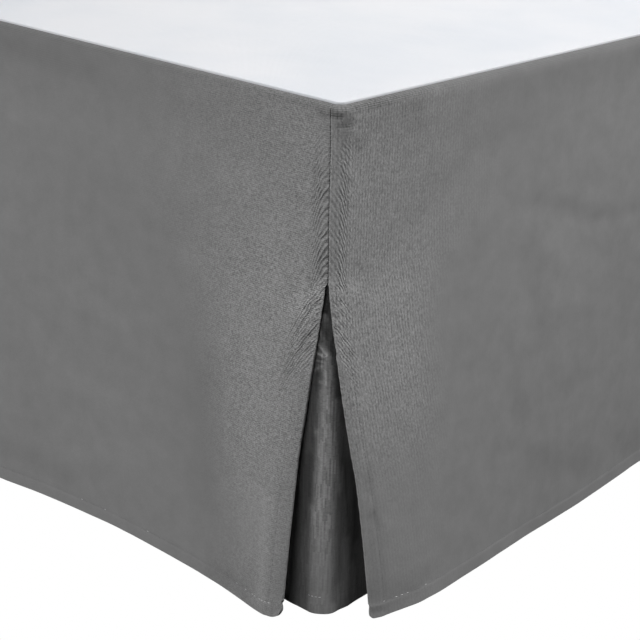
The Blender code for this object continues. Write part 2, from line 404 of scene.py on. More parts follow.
@dataclass(frozen=True)
class GreyCloth:
    """Brushed plain-weave cloth, crumpled where it was worked, with painted light beside the opening.

    Beside a corner seam lie the seam's puckers, with fine lines drawn down to it, and a
    fan of lines spreads from the opening's point below it; these carry painted shading as well
    as relief. A line leans by its rise, and bends by its curve, with the distance from the seam.
    """

    name: str
    warp: Yarn = Yarn(0.0008, 0.0008, 0.60)
    weft: Yarn = Yarn(0.0007, 0.0020, 0.32)
    colour: Colour = (0.196, 0.196, 0.196)
    yarn_height: float = 0.00006
    row_tone: float = 0.14
    row_pitch: float = 0.00145
    row_waver: float = 6.0
    rib_tone: float = 0.0
    rib_pitch: float = 0.0029
    rib_waver: float = 3.0
    grain: float = 0.40
    grain_size: float = 0.0020
    grain_height: float = 0.00015
    cloud: float = 0.08
    mottle: float = 0.26
    # Painted light where the handled mark is high, beside the opening and on the insert's fold.
    painted_light: float = 0.12
    calm_beside: float = 0.25
    pucker_pitch: float = 0.0058
    pucker_height: float = 0.00034
    # The puckers' and fan lines' painted shading, beside their relief.
    pucker_painted_shading: float = 0.24
    pucker_window: Window = Window(0.010, 0.075, 0.122, 0.132)
    drawn_share: float = 3.0
    drawn_rise: float = 1.1
    drawn_curve: float = 8.0
    drawn_reach: float = 0.022
    drawn_window: Window = Window(0.012, 0.030, 0.105, 0.128)
    fan_share: float = 7.3
    fan_rise: float = 1.15
    fan_curve: float = 25.0
    fan_reach: float = 0.038
    fan_window: Window = Window(0.108, 0.122, 0.145, 0.200)
    line_width: float = 0.0024
    line_length: float = 0.0180
    line_waver: float = 0.004
    # Painted shade from the crease mark, and painted light where it is negative.
    painted_shading: float = 0.45
    painted_shading_streaks: float = 0.22
    streak_pitch: float = 0.0018

    def build(self) -> bpy.types.Material:
        """Make the material.

        Returns:
            The finished material.
        """
        shader = Shader(self.name)
        weave = shader.weave_map()
        along, depth, _ = weave.split()
        seam, handled, crease = (shader.mark(name) for name in (Sheet.SEAM, Sheet.HANDLED_AND_LIT, Sheet.CREASE_PAINTED_SHADING))
        waver = shader.noise(weave, scale=110.0, detail=2.0, roughness=0.5)
        yarns = shader.yarns(along, depth, self.warp) + shader.yarns(depth, along, self.weft)
        rows = (depth * (TURN / self.row_pitch) + waver * self.row_waver).sine() * self.row_tone
        ribs = (along * (TURN / self.rib_pitch) + waver * self.rib_waver).sine() * self.rib_tone
        grain = shader.noise(weave, scale=1.0 / self.grain_size, detail=2.0, roughness=0.6)
        cloud = shader.noise(weave, scale=9.0, detail=3.0, roughness=0.55)
        mottle = shader.noise(weave, scale=55.0, detail=4.0, roughness=0.6)
        patches = shader.noise(weave, scale=45.0, detail=1.0, roughness=0.5)
        puckers = self.gathers(seam, depth, waver, patches)
        calm = 1.0 - self.calm_beside * seam.step_down(0.009, 0.018) * depth.step_down(0.120, 0.130)
        fine = (yarns + rows + ribs + grain * self.grain) * handled * calm
        # Painted light beside the opening, scaled by the handled mark.
        tone = 1.0 + handled * self.painted_light + fine + cloud * self.cloud + mottle * self.mottle
        # Painted shading that follows the puckers and fan lines.
        tone = tone + puckers * self.pucker_painted_shading
        # Painted shade in creases and under the roll, or painted light where negative, with fine painted
        # streaks.
        streaks = (depth * (TURN / self.streak_pitch) + waver * 2.0).sine() * self.painted_shading_streaks
        tone = tone * (1.0 - crease * (self.painted_shading + crease * streaks))
        height = yarns * handled * self.yarn_height + grain * handled * self.grain_height
        height = height + puckers * self.pucker_height
        return shader.finish(shader.tint(self.colour, tone), 0.9 + grain * 0.1, height, specular=0.15)

    def gathers(self, seam: Field, depth: Field, waver: Field, patches: Field) -> Field:
        """The puckers beside the seam, the drawn lines and the fan.

        Args:
            seam: Distance along the cloth from the seam.
            depth: Depth down the cloth.
            waver: Fine noise that bends the lines.
            patches: Coarser noise that makes them uneven.

        Returns:
            Their height, in puckers, which also sets their painted shading.
        """
        run = seam * PUCKER_RISE + seam * seam * PUCKER_CURVE
        wave = ((depth - run) * (TURN / self.pucker_pitch) + waver * 5.0 + patches * 4.0).sine()
        puckers = wave * depth.window(self.pucker_window)
        puckers = puckers * seam.step_down(0.008, 0.017) * (patches * 1.6 + 0.9)
        clear = seam.step_between(0.000, 0.003)
        line = depth - seam * (seam * self.drawn_curve + self.drawn_rise) + waver * self.line_waver
        drawn = self.lines(line, seam, waver) * depth.window(self.drawn_window) * clear
        drawn = drawn * seam.step_down(0.008, self.drawn_reach) * self.drawn_share
        line = depth - seam * (seam * self.fan_curve + self.fan_rise) + waver * self.line_waver
        fan = self.lines(line, seam, waver) * line.window(self.fan_window) * (patches + 0.9)
        return puckers + drawn + fan * clear * seam.step_down(0.006, self.fan_reach) * self.fan_share

    def lines(self, across: Field, down: Field, waver: Field) -> Field:
        """Fine uneven lines, some drawn and some broken, centred on 0."""
        even = (across * (TURN / (self.line_width * 1.7)) + waver * 5.0).sine() * 0.14
        return across.shader.streaks(across / self.line_width, down / self.line_length) * 0.6 + even


@dataclass(frozen=True)
class DeckCloth:
    """Thin white cloth, with painted shade in faint blue-grey patches."""

    name: str = "white_deck_cloth"
    colour: Colour = (0.580, 0.586, 0.606)
    painted_shade_colour: Colour = (0.536, 0.553, 0.583)
    thread_pitch: float = 0.0012
    thread_height: float = 0.00005
    crumple_height: float = 0.0012

    def build(self) -> bpy.types.Material:
        """Make the material.

        Returns:
            The finished material.
        """
        shader = Shader(self.name)
        weave = shader.weave_map()
        along, depth, _ = weave.split()
        turns = TURN / self.thread_pitch
        threads = (along * turns).sine() * (depth * turns).sine()
        patches = shader.noise(weave, scale=5.0, detail=3.0, roughness=0.55)
        crumple = shader.noise(weave, scale=14.0, detail=4.0, roughness=0.6)
        # Painted shade: a bluer grey in soft patches.
        colour = shader.blend(self.colour, self.painted_shade_colour, patches.step_between(-0.12, 0.16))
        height = threads * self.thread_height + crumple * self.crumple_height
        return shader.finish(colour, 0.88 + patches * 0.1, height, specular=0.2)


@dataclass(frozen=True)
class Thread:
    """Sewing thread, with painted shade where it sinks and a painted highlight where stitches lie loose."""

    name: str = "grey_thread"
    painted_shade_colour: Colour = (0.105, 0.105, 0.107)
    painted_highlight_colour: Colour = (0.62, 0.62, 0.62)
    twist_pitch: float = TURN / 9000.0

    def build(self) -> bpy.types.Material:
        """Make the material.

        Returns:
            The finished material.
        """
        shader = Shader(self.name)
        x, y, z = shader.place().split()
        twist = ((x + y + z) * (TURN / self.twist_pitch)).sine()
        # Painted shade on sunk stitches, a painted highlight on loose ones.
        colour = shader.blend(self.painted_shade_colour, self.painted_highlight_colour, shader.mark(Stitching.LOOSE_AND_LIT))
        return shader.finish(colour, 0.6 + twist * 0.08, twist * 0.00003, specular=0.3)


@dataclass(frozen=True)
class Ticking:
    """Box spring cover: off-white cloth with a narrow woven stripe."""

    name: str = "striped_ticking"
    colour: Colour = (0.62, 0.62, 0.60)
    stripe_colour: Colour = (0.47, 0.48, 0.48)
    soiled_colour: Colour = (0.50, 0.49, 0.45)
    stripe_pitch: float = 0.024
    thread_pitch: float = 0.0012
    thread_height: float = 0.00012

    def build(self) -> bpy.types.Material:
        """Make the material.

        Returns:
            The finished material.
        """
        shader = Shader(self.name)
        place = shader.place()
        x, y, z = place.split()
        across = x + y
        stripe = (across * (TURN / self.stripe_pitch)).sine().step_between(0.55, 0.75)
        twill = ((across + z) * (TURN / self.thread_pitch)).sine()
        soil = shader.noise(place, scale=11.0, detail=3.0, roughness=0.6)
        colour = shader.blend(self.colour, self.stripe_colour, stripe)
        worn = shader.blend(colour, self.soiled_colour, soil.step_between(0.0, 0.35) * 0.35)
        return shader.finish(worn, 0.82 + soil * 0.15, twill * self.thread_height, specular=0.2)


@dataclass(frozen=True)
class DustCover:
    """The spun cloth under the box spring."""

    name: str = "dust_cover"
    colour: Colour = (0.06, 0.06, 0.065)

    def build(self) -> bpy.types.Material:
        """Make the material.

        Returns:
            The finished material.
        """
        shader = Shader(self.name)
        fibres = shader.noise(shader.place(), scale=900.0, detail=3.0, roughness=0.6)
        colour = shader.tint(self.colour, 1.0 + fibres * 0.7)
        return shader.finish(colour, 0.8 + fibres * 0.2, fibres * 0.0002)


@dataclass(frozen=True)
class Beech:
    """Turned and oiled beech, with its grain along the leg."""

    name: str = "oiled_beech"
    light: Colour = (0.36, 0.23, 0.13)
    dark: Colour = (0.24, 0.14, 0.075)

    def build(self) -> bpy.types.Material:
        """Make the material.

        Returns:
            The finished material.
        """
        shader = Shader(self.name)
        place = shader.place()
        rings = shader.noise(place.stretched(55.0, 55.0, 3.0), scale=1.0, detail=3.0, roughness=0.6)
        flecks = shader.noise(place.stretched(900.0, 900.0, 130.0), scale=1.0, detail=1.0, roughness=0.5)
        bands = (rings * 34.0).sine() * 0.5 + 0.5
        colour = shader.blend(self.light, self.dark, bands * 0.55 + flecks.step_between(0.08, 0.2) * 0.4)
        return shader.finish(colour, 0.42 + bands * 0.12, (flecks + bands * 0.3) * 0.00008, specular=0.4)


@dataclass(frozen=True)
class Nylon:
    """The dark glide under a leg."""

    name: str = "nylon_glide"
    colour: Colour = (0.035, 0.035, 0.037)

    def build(self) -> bpy.types.Material:
        """Make the material.

        Returns:
            The finished material.
        """
        shader = Shader(self.name)
        scuffs = shader.noise(shader.place(), scale=700.0, detail=3.0, roughness=0.6)
        colour = shader.tint(self.colour, 1.0 + scuffs * 0.6)
        return shader.finish(colour, 0.5 + scuffs * 0.3, scuffs * 0.00005)


# ---- The bed's sizes ----


@dataclass(frozen=True)
class Bed:
    """Where the drop hangs.

    half_width runs from the middle to a side's drop plane. foot and head are the planes of
    the foot's drop and the open end, and top is the upper face of the deck.
    """

    half_width: float
    foot: float
    head: float
    top: float

    @classmethod
    def from_solids(cls, box_inset: float = 0.006) -> "Bed":
        """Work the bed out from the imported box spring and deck."""
        low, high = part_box("box_spring")
        return cls(high.x + box_inset, low.y - box_inset, high.y + box_inset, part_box("deck")[1].z)

    @property
    def width(self) -> float:
        """From side to side."""
        return 2.0 * self.half_width

    @property
    def length(self) -> float:
        """From head to foot."""
        return self.head - self.foot

    @property
    def middle(self) -> float:
        """Halfway between head and foot."""
        return (self.head + self.foot) / 2


BED = Bed.from_solids()

# The drape, as the solids have it.
DROP = 0.381
CORNER_RADIUS = 0.012
CORNER_SEAM_GAP = 0.0003
DECK_SEAM_GAP = 0.0005
SEAM_INSET = 0.006
ROLL_RADIUS = 0.005
ROLL_LIFT = 0.0007
ROLL_STEPS = 8
SPLIT_DEPTH = 0.1222
UNROLL_DEPTH = 0.060
SWING_REACH = 0.45
FLARE_START = 0.020
FLARE_REACH = 0.250
FLARE_EASE = 0.080
FOOT_TURN = math.radians(15.0)
SIDE_TURN = math.radians(75.0)
HEM_DEPTH = 0.0125
TIP_REACH = 0.040

# The cloth.
CLOTH = 0.0010
DOUBLED_CLOTH = 0.0022
EDGE_ROUNDING = 0.00048
EDGE_ANGLE = math.radians(60.0)
EDGE_STEP = 0.0005

# The puckers beside the corner seams, and the fan of lines below them.
PUCKER_RISE = 0.6
PUCKER_CURVE = 110.0
PUCKER_WINDOW = Window(0.020, 0.060, SPLIT_DEPTH - 0.004, SPLIT_DEPTH + 0.006)
FAN_WINDOW = Window(0.108, 0.122, 0.145, 0.200)
FAN_LINE_WIDTH = 0.0026
FAN_LINE_LENGTH = 0.012
GATHER_REACH = 0.052
GATHER_DEPTH = 0.280

# How close together the sheets' lines lie.
SPLIT_COLUMNS = Spacing(0.0012, 0.026, 1.09, 0.010)
PLAIN_COLUMNS = Spacing(0.0020, 0.014, 1.35, 0.010)
DROP_ROWS = Spacing(0.0014, 0.150, 1.10, 0.0048)
INSERT_COLUMNS = Spacing(0.0009, 0.018, 1.09, 0.010)
INSERT_TOP_ROWS = Spacing(0.0040)
INSERT_FOLD_ROWS = Spacing(0.0030)
DECK_LINES = Spacing(0.0012, 0.008, 1.25, 0.016)
DECK_HEAD_LINES = Spacing(0.0010, 0.014, 1.25, 0.016)
FINE_ROW = 0.0009
HEM_ROWS = 13
HEM_ROWS_FROM = DROP - 0.012


@dataclass(frozen=True)
class SplitRow:
    """How far each free edge stands from the corner seam's line, at a depth."""

    depth: float
    foot: float
    side: float


SPLIT_ROWS = (
    SplitRow(SPLIT_DEPTH, 0.0000, 0.0000),
    SplitRow(0.1237, 0.0011, 0.0009),
    SplitRow(0.1300, 0.0010, 0.0018),
    SplitRow(0.1370, 0.0013, 0.0032),
    SplitRow(0.1437, 0.0017, 0.0043),
    SplitRow(0.1505, 0.0022, 0.0046),
    SplitRow(0.1637, 0.0034, 0.0055),
    SplitRow(0.1780, 0.0054, 0.0071),
    SplitRow(0.2100, 0.0087, 0.0120),
    SplitRow(0.2500, 0.0122, 0.0188),
    SplitRow(0.2700, 0.0129, 0.0227),
    SplitRow(0.3000, 0.0136, 0.0264),
    SplitRow(0.3400, 0.0140, 0.0299),
    SplitRow(DROP, 0.0142, 0.0320),
)


# How far the corner seam wanders to the right of its straight line, as (depth, distance).
SEAM_WANDER = (
    (0.006, -0.0010), (0.016, -0.0002), (0.040, 0.0002), (0.075, 0.0006), (0.118, 0.0016),
    (0.128, 0.0011), (0.142, 0.0),
)
SEAM_WANDER_REACH = 0.030


class EndKind(Enum):
    """How a panel ends."""

    PLAIN = "plain"
    FOOT = "foot"
    SIDE = "side"


@dataclass(frozen=True)
class PanelEnd:
    """One end of a panel: how far it turns round the corner, and its hem corner's radius."""

    kind: EndKind
    turn: float
    tip: float

    def swing(self, depth: float) -> float:
        """How far the free edge has moved from the seam's line at a depth.

        Args:
            depth: Depth below the deck.

        Returns:
            The distance along the cloth.
        """
        if self.kind is EndKind.PLAIN:
            return 0.0
        return curve_through([(row.depth, getattr(row, self.kind.value)) for row in SPLIT_ROWS], depth)


PLAIN_END = PanelEnd(EndKind.PLAIN, 0.0, 0.002)
FOOT_END = PanelEnd(EndKind.FOOT, FOOT_TURN, 0.010)
SIDE_END = PanelEnd(EndKind.SIDE, SIDE_TURN, 0.003)


@dataclass(frozen=True)
class Crease:
    """A soft ridge, or a trough where its height is negative, laid along a line.

    Each end is (along, depth). dark is the crease's painted shade, or painted light where negative.
    """

    start: tuple[float, float]
    end: tuple[float, float]
    width: float
    height: float
    dark: float

    def presence(self, along: float, depth: float) -> float:
        """How much of the crease is felt at a point, from 0 to 1.

        Args:
            along: Distance along the cloth.
            depth: Depth below the deck.

        Returns:
            The share, 1 on the line itself.
        """
        line_x, line_y = self.end[0] - self.start[0], self.end[1] - self.start[1]
        x, y = along - self.start[0], depth - self.start[1]
        length = math.hypot(line_x, line_y)
        down = (x * line_x + y * line_y) / length
        across = (x * line_y - y * line_x) / length
        if abs(across) > 3.0 * self.width or not -2.0 * self.width < down < length + 2.0 * self.width:
            return 0.0
        beyond = max(-down, down - length, 0.0)
        return bell(across, self.width) * bell(beyond, self.width)


def straight(*rows: tuple[float, ...]) -> tuple[Crease, ...]:
    """Lay straight creases.

    Args:
        rows: Each one's start and end, (along, depth, along, depth), then its width, height and dark, its
            painted shade.

    Returns:
        The creases.
    """
    return tuple(Crease(row[:2], row[2:4], *row[4:]) for row in rows)


def bent(points: Sequence[tuple[float, float]], width: float, height: float,
         dark: float) -> tuple[Crease, ...]:
    """Lay creases end to end through points.

    Args:
        points: The (along, depth) points.
        width: The creases' width.
        height: Their height.
        dark: Their painted shade, or painted light where negative.

    Returns:
        The creases, set apart so that their faded ends join evenly.
    """
    creases = []
    for start, end in zip(points, points[1:]):
        inset = min(0.83 * width / math.dist(start, end), 0.45)
        first = tuple(mix(a, b, inset) for a, b in zip(start, end))
        last = tuple(mix(b, a, inset) for a, b in zip(start, end))
        creases.append(Crease(first, last, width, height, dark))
    return tuple(creases)


def total_height(creases: Sequence[Crease], along: float, depth: float) -> float:
    """Sum the creases' heights at a point."""
    return sum(crease.height * crease.presence(along, depth) for crease in creases)


def total_painted_shading(creases: Sequence[Crease], along: float, depth: float) -> float:
    """Sum the creases' painted shade at a point, with painted light where negative."""
    return sum(crease.dark * crease.presence(along, depth) for crease in creases)


# ---- Cloth ----


@dataclass
class Sheet:
    """A sewn sheet of cloth, built from a grid as its outer face and thickened inwards."""

    name: str
    node: str
    slot: str
    finish: bpy.types.Material
    flat: tuple[float, float] = (1.0, 1.0)
    held: str = "hung"
    rests_on: tuple[str, ...] = ("deck",)
    trims: list[bpy.types.Object] = field(default_factory=list)

    WEAVE_MAP = "weave"
    SEAM = "seam"
    # The crease mark holds painted shade, and painted light where it is negative.
    CREASE_PAINTED_SHADING = "crease"
    # The handled mark also scales painted light.
    HANDLED_AND_LIT = "handled"

    def columns(self) -> list[float]:
        """Distances along the cloth."""
        raise NotImplementedError

    def rows(self) -> list[tuple[float, float]]:
        """The (inset, depth) lines down the cloth."""
        raise NotImplementedError

    def place(self, along: float, inset: float, depth: float) -> Vector:
        """A point of the outer face in the row frame.

        Args:
            along: Distance along the cloth.
            inset: How far inside the drop the line lies.
            depth: Depth below the deck.

        Returns:
            The point.
        """
        raise NotImplementedError

    def is_hem(self, along: float, depth: float) -> bool:
        """Whether the cloth is turned back double here."""
        return False

    def seam_distance(self, along: float, depth: float) -> float:
        """Distance along the cloth from the nearest corner seam, 1 where there is none near."""
        return 1.0

    def painted_shading(self, along: float, depth: float) -> float:
        """Painted shade from creases, from 0 to 1."""
        return 0.0

    def handled(self, along: float, depth: float) -> float:
        """How rough handling has left the cloth and how much painted light it gets, 1 beside the opening."""
        return 0.5

    def build(self) -> bpy.types.Object:
        """Make the sheet's mesh, thicken it and dress it.

        Returns:
            The finished piece, riding on the body.
        """
        columns, rows = self.columns(), self.rows()
        across, down = len(columns) - 1, len(rows) - 1
        bm = bmesh.new()
        bmesh.ops.create_grid(bm, x_segments=across, y_segments=down, size=1.0)
        seam = bm.verts.layers.float.new(self.SEAM)
        crease = bm.verts.layers.float.new(self.CREASE_PAINTED_SHADING)
        handled = bm.verts.layers.float.new(self.HANDLED_AND_LIT)
        flat = []
        hem = []
        for vert in bm.verts:
            along = columns[round((vert.co.x + 1.0) / 2.0 * across)]
            inset, depth = rows[round((1.0 - vert.co.y) / 2.0 * down)]
            vert.co = self.place(along, inset, depth)
            vert[seam] = self.seam_distance(along, depth)
            vert[crease] = self.painted_shading(along, depth)
            vert[handled] = self.handled(along, depth)
            flat.append((along, depth - inset))
            hem.append(self.is_hem(along, depth))
        bm.verts.index_update()
        weave = bm.loops.layers.uv.new(self.WEAVE_MAP)
        for face in bm.faces:
            face.smooth = True
            for loop in face.loops:
                loop[weave].uv = flat[loop.vert.index]
        piece = make_object(self.name, bm, [self.finish])
        group = piece.vertex_groups.new(name="hem")
        group.add([index for index, double in enumerate(hem) if double], 1.0, "REPLACE")
        self.thicken(piece, group.name)
        self.declare(piece)
        return piece

    def thicken(self, piece: bpy.types.Object, group: str) -> None:
        """Give the cloth its thickness, double at the hems, and soften its edges.

        Args:
            piece: The flat outer face.
            group: The vertex group of its hems.
        """
        solidify = piece.modifiers.new("cloth", "SOLIDIFY")
        solidify.thickness = DOUBLED_CLOTH
        solidify.offset = -1.0
        solidify.vertex_group = group
        solidify.thickness_vertex_group = CLOTH / DOUBLED_CLOTH
        rounding = piece.modifiers.new("rounding", "BEVEL")
        rounding.width = EDGE_ROUNDING
        rounding.segments = 2
        rounding.limit_method = "ANGLE"
        rounding.angle_limit = EDGE_ANGLE

    def declare(self, piece: bpy.types.Object) -> None:
        """Tie the piece to its body and hide the solid it replaces.

        Args:
            piece: The thickened sheet.
        """
        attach(piece, BODY)
        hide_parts(self.node)


def make_object(name: str, bm: bmesh.types.BMesh,
                materials: Sequence[bpy.types.Material]) -> bpy.types.Object:
    """Turn a bmesh into a linked object at the origin.

    Args:
        name: The object's name.
        bm: Its mesh, freed here.
        materials: Its materials, in order.

    Returns:
        The object.
    """
    mesh = bpy.data.meshes.new(name)
    bm.to_mesh(mesh)
    bm.free()
    for material in materials:
        mesh.materials.append(material)
    obj = bpy.data.objects.new(name, mesh)
    bpy.context.scene.collection.objects.link(obj)
    return obj


def hem_rows(inset: float) -> list[tuple[float, float]]:
    """Close (inset, depth) lines at the foot of a sheet, where its hem is sewn."""
    depths = [HEM_ROWS_FROM + step * FINE_ROW for step in range(HEM_ROWS)]
    return [(inset, depth) for depth in depths + [DROP - EDGE_STEP, DROP]]


@dataclass
class Panel(Sheet):
    """A hung panel of the drop."""

    width: float = 1.0
    left: PanelEnd = PLAIN_END
    right: PanelEnd = PLAIN_END
    folds: Sequence[tuple[float, float]] = ()
    creases: Sequence[Crease] = ()
    edge: tuple[float, float] = (0.0, 0.0)
    heading: float = 0.0
    seed: float = 0.0
    pucker_pitch: float = 0.0058
    pucker_height: float = 0.00034
    fan_rise: float = 0.9
    fan_curve: float = 25.0
    fan_reach: float = 0.040
    # These shape the handled mark, which sets both the crumple and the painted light.
    apex_rough: float = 0.40
    low_rough: float = 0.55
    low_from: float = 0.220
    calm: float = 0.08
    # Painted shade below the rolled edge, then a painted dulling of the roll's own highlight by depth.
    rolled_painted_shade: float = 0.19
    roll_painted_shading: Sequence[tuple[float, float]] = (
        (-0.0003, 0.62), (0.0008, 0.48), (0.0022, 0.28), (0.0036, 0.10), (0.0050, 0.00),
    )
    hem_wave: Sequence[tuple[float, float]] = ((0.0, 0.0), (1.0, 0.0))
    side_hem: float = 0.0115
    stitch_rise: float = 0.0105
    lip_height: float = 0.0004
    curl_height: float = 0.0014
    groove_height: float = 0.0003
    tuck_height: float = 0.00018
    tuck_pitch: float = 0.0105
    hem_step: float = 0.00015
    stitch_sink: float = 0.00024
    hem_pull: float = 0.0003
    slack: float = 0.0009
    fine_slack: float = 0.00035
    # Where the handled mark fades, and the painted light with it.
    handled_and_lit_from: Sequence[tuple[float, float]] = (
        (0.090, 0.0), (0.130, 0.065), (0.240, 0.055), (0.330, 0.035),
    )
    handled_and_lit_to: Sequence[tuple[float, float]] = (
        (0.095, 0.215), (0.140, 0.165), (0.240, 0.122), (0.330, 0.105),
    )

    def __post_init__(self) -> None:
        """Work out the panel's length from its ends."""
        self.x_left = -self.width / 2 + (CORNER_RADIUS if self.left.turn else 0.0)
        self.x_right = self.width / 2 - (CORNER_RADIUS if self.right.turn else 0.0)
        self.left_arc = CORNER_RADIUS * self.left.turn
        self.length = self.left_arc + self.x_right - self.x_left + CORNER_RADIUS * self.right.turn
        self.to_row = Matrix.Translation((*self.edge, BED.top)) @ Matrix.Rotation(self.heading, 4, "Z")
        self.flat = (self.length + 2 * self.side_hem, DROP + 2 * HEM_DEPTH + SEAM_INSET)

    def columns(self) -> list[float]:
        """Distances along the cloth, close together at the split ends.

        Returns:
            Distances from 0 to the length.
        """
        near, far = (SPLIT_COLUMNS if end.turn else PLAIN_COLUMNS for end in (self.left, self.right))
        columns = near.from_both_ends(self.length, far)
        columns[0] += CORNER_SEAM_GAP / 2 if self.left.turn else 0.0
        columns[-1] -= CORNER_SEAM_GAP / 2 if self.right.turn else 0.0
        return columns

    def rows(self) -> list[tuple[float, float]]:
        """The rolled edge, then lines down the drop, closer where the folds are fine.

        Returns:
            The (inset, depth) lines, from the seam down.
        """
        lines = [(SEAM_INSET, -ROLL_LIFT), (SEAM_INSET - EDGE_STEP, -ROLL_LIFT)]
        for step in range(ROLL_STEPS + 1):
            angle = QUARTER * step / ROLL_STEPS
            depth = ROLL_RADIUS * (1.0 - math.cos(angle)) - ROLL_LIFT
            lines.append((ROLL_RADIUS * (1.0 - math.sin(angle)), depth))
        start = lines[-1][1]
        lines += [(0.0, start + mark) for mark in DROP_ROWS.marks(HEM_ROWS_FROM - start)[1:]]
        return lines + hem_rows(0.0)

    def base(self, along: float, depth: float) -> tuple[float, float, float]:
        """Position in the drop's plane and the outward direction, round the corners too.

        Args:
            along: Distance along the cloth.
            depth: Depth below the deck.

        Returns:
            How far right and how far inward the point lies, and the angle it faces.
        """
        x = self.x_left + along - self.left_arc
        past_left, past_right = self.x_left - x, x - self.x_right
        turned = 1.0 - smooth((depth - SPLIT_DEPTH) / UNROLL_DEPTH)
        if max(past_left, past_right) <= 0.0 or turned < 1e-4:
            return x, 0.0, 0.0
        radius = CORNER_RADIUS / turned
        side = 1.0 if past_right > 0.0 else -1.0
        angle = max(past_left, past_right) / radius
        tangent = self.x_right if past_right > 0.0 else self.x_left
        return tangent + side * radius * math.sin(angle), radius * (1.0 - math.cos(angle)), side * angle

    def seam_distance(self, along: float, depth: float) -> float:
        """Distance along the cloth to the nearer split end.

        Args:
            along: Distance along the cloth.
            depth: Depth below the deck.

        Returns:
            The distance, or 1 on a panel with no split end.
        """
        distances = [1.0]
        if self.left.turn:
            distances.append(along)
        if self.right.turn:
            distances.append(self.length - along)
        return min(distances)

    def stand_out(self, x: float, along: float, depth: float) -> float:
        """How far the drape stands out from the drop's plane.

        Args:
            x: Distance right of the panel's middle.
            along: Distance along the cloth.
            depth: Depth below the deck.

        Returns:
            The distance outwards.
        """
        near = smooth(min(self.seam_distance(along, depth), SWING_REACH) / FLARE_REACH)
        start = mix(SPLIT_DEPTH, FLARE_START, near)
        t = max(depth - start, 0.0) / (DROP - start)
        growth = t * t * (1.0 + FLARE_EASE) / (t + FLARE_EASE)
        return growth * curve_through(self.folds, x + self.width / 2)

    def tip_rise(self, along: float, depth: float) -> float:
        """How far the hem's rounded corner lifts the cloth near a free edge.

        Args:
            along: Distance along the cloth.
            depth: Depth below the deck.

        Returns:
            The lift.
        """
        rise = 0.0
        for end, distance in ((self.left, along), (self.right, self.length - along)):
            if distance < end.tip:
                rise += end.tip - math.sqrt(end.tip**2 - (end.tip - distance) ** 2)
        wave = curve_through(self.hem_wave, along)
        return (rise + wave) * smooth((depth - DROP + TIP_REACH) / TIP_REACH)

    def puckers(self, distance: float, depth: float) -> float:
        """The small folds that a corner seam gathers, and those that fan from the opening's point.

        Args:
            distance: Distance from the seam.
            depth: Depth below the deck.

        Returns:
            Their height.
        """
        if distance > GATHER_REACH or depth > GATHER_DEPTH:
            return 0.0
        run = distance * PUCKER_RISE + distance**2 * PUCKER_CURVE
        waver = 0.35 * ripple((distance * 60.0, depth * 45.0), self.seed)
        uneven = 0.85 + 0.4 * ripple((distance * 30.0, depth * 90.0), self.seed + 3.0)
        wave = math.sin(TURN * ((depth - run) / self.pucker_pitch + waver))
        beside = uneven * PUCKER_WINDOW.share(depth) * wave * fade(distance, 0.006, 0.010)
        line = depth - distance * (distance * self.fan_curve + self.fan_rise)
        fan = ripple((line / FAN_LINE_WIDTH, distance / FAN_LINE_LENGTH), self.seed + 5.0)
        fan *= FAN_WINDOW.share(line) * fade(distance, 0.006, self.fan_reach - 0.006)
        return self.pucker_height * (beside + 1.1 * uneven * fan) * smooth(distance / 0.003)

    def edge_relief(self, end: PanelEnd, distance: float, depth: float) -> float:
        """The turned-in edge beside a split end: its lip, its raised band and its groove.

        Args:
            end: The panel's end.
            distance: Distance from it.
            depth: Depth below the deck.

        Returns:
            The height.
        """
        if distance > 0.030 or depth < 0.002:
            return 0.0
        if not end.turn:
            return -self.lip_height * bell(distance - self.side_hem, 0.0012)
        opened = smooth((depth - SPLIT_DEPTH) / 0.012)
        lip = -self.lip_height * fade(distance, 0.0, 0.0022)
        curl = -self.curl_height * smooth((depth - SPLIT_DEPTH - 0.020) / 0.080) * fade(distance, 0.0, 0.0135)
        waver = 1.0 + 0.8 * ripple((depth * 55.0, 0.0), self.seed + 7.0)
        start = smooth((depth - 0.020) / 0.020)
        groove = -self.groove_height * waver * bell(distance - self.side_hem, 0.0018) * start
        turns = TURN * depth / self.tuck_pitch + 5.0 * ripple((depth * 20.0, 1.0), self.seed)
        tuck = self.tuck_height * opened * math.sin(turns)
        return lip + curl + groove + tuck * fade(distance, 0.006, 0.010)

    def hem_relief(self, along: float, depth: float) -> float:
        """The turned-up hem: a step, the sunk stitch line and small tucks.

        Args:
            along: Distance along the cloth.
            depth: Depth below the deck.

        Returns:
            The height.
        """
        rise = DROP - depth
        if rise > 0.030:
            return 0.0
        step = self.hem_step * fade(rise, HEM_DEPTH, 0.0025)
        uneven = 1.0 + 0.9 * ripple((along * 30.0, 0.0), self.seed + 13.0)
        sunk = -self.stitch_sink * uneven * bell(rise - self.stitch_rise, 0.0012)
        pulled = self.hem_pull * ripple((along * 55.0, rise * 20.0), self.seed + 11.0)
        return step + sunk + pulled * bell(rise - 0.008, 0.009)

    def relief(self, along: float, depth: float) -> float:
        """Height of everything finer than the drape.

        Args:
            along: Distance along the cloth.
            depth: Depth below the deck.

        Returns:
            The height.
        """
        height = self.hem_relief(along, depth)
        for end, distance in ((self.left, along), (self.right, self.length - along)):
            height += self.edge_relief(end, distance, depth)
            if end.turn:
                height += self.puckers(distance, depth)
        height += total_height(self.creases, along, depth)
        grown = smooth(depth / 0.12)
        height += self.slack * grown * ripple((along * 9.0, depth * 7.0), self.seed + 17.0)
        height += self.fine_slack * grown * ripple((along * 26.0, depth * 18.0), self.seed + 23.0)
        return height

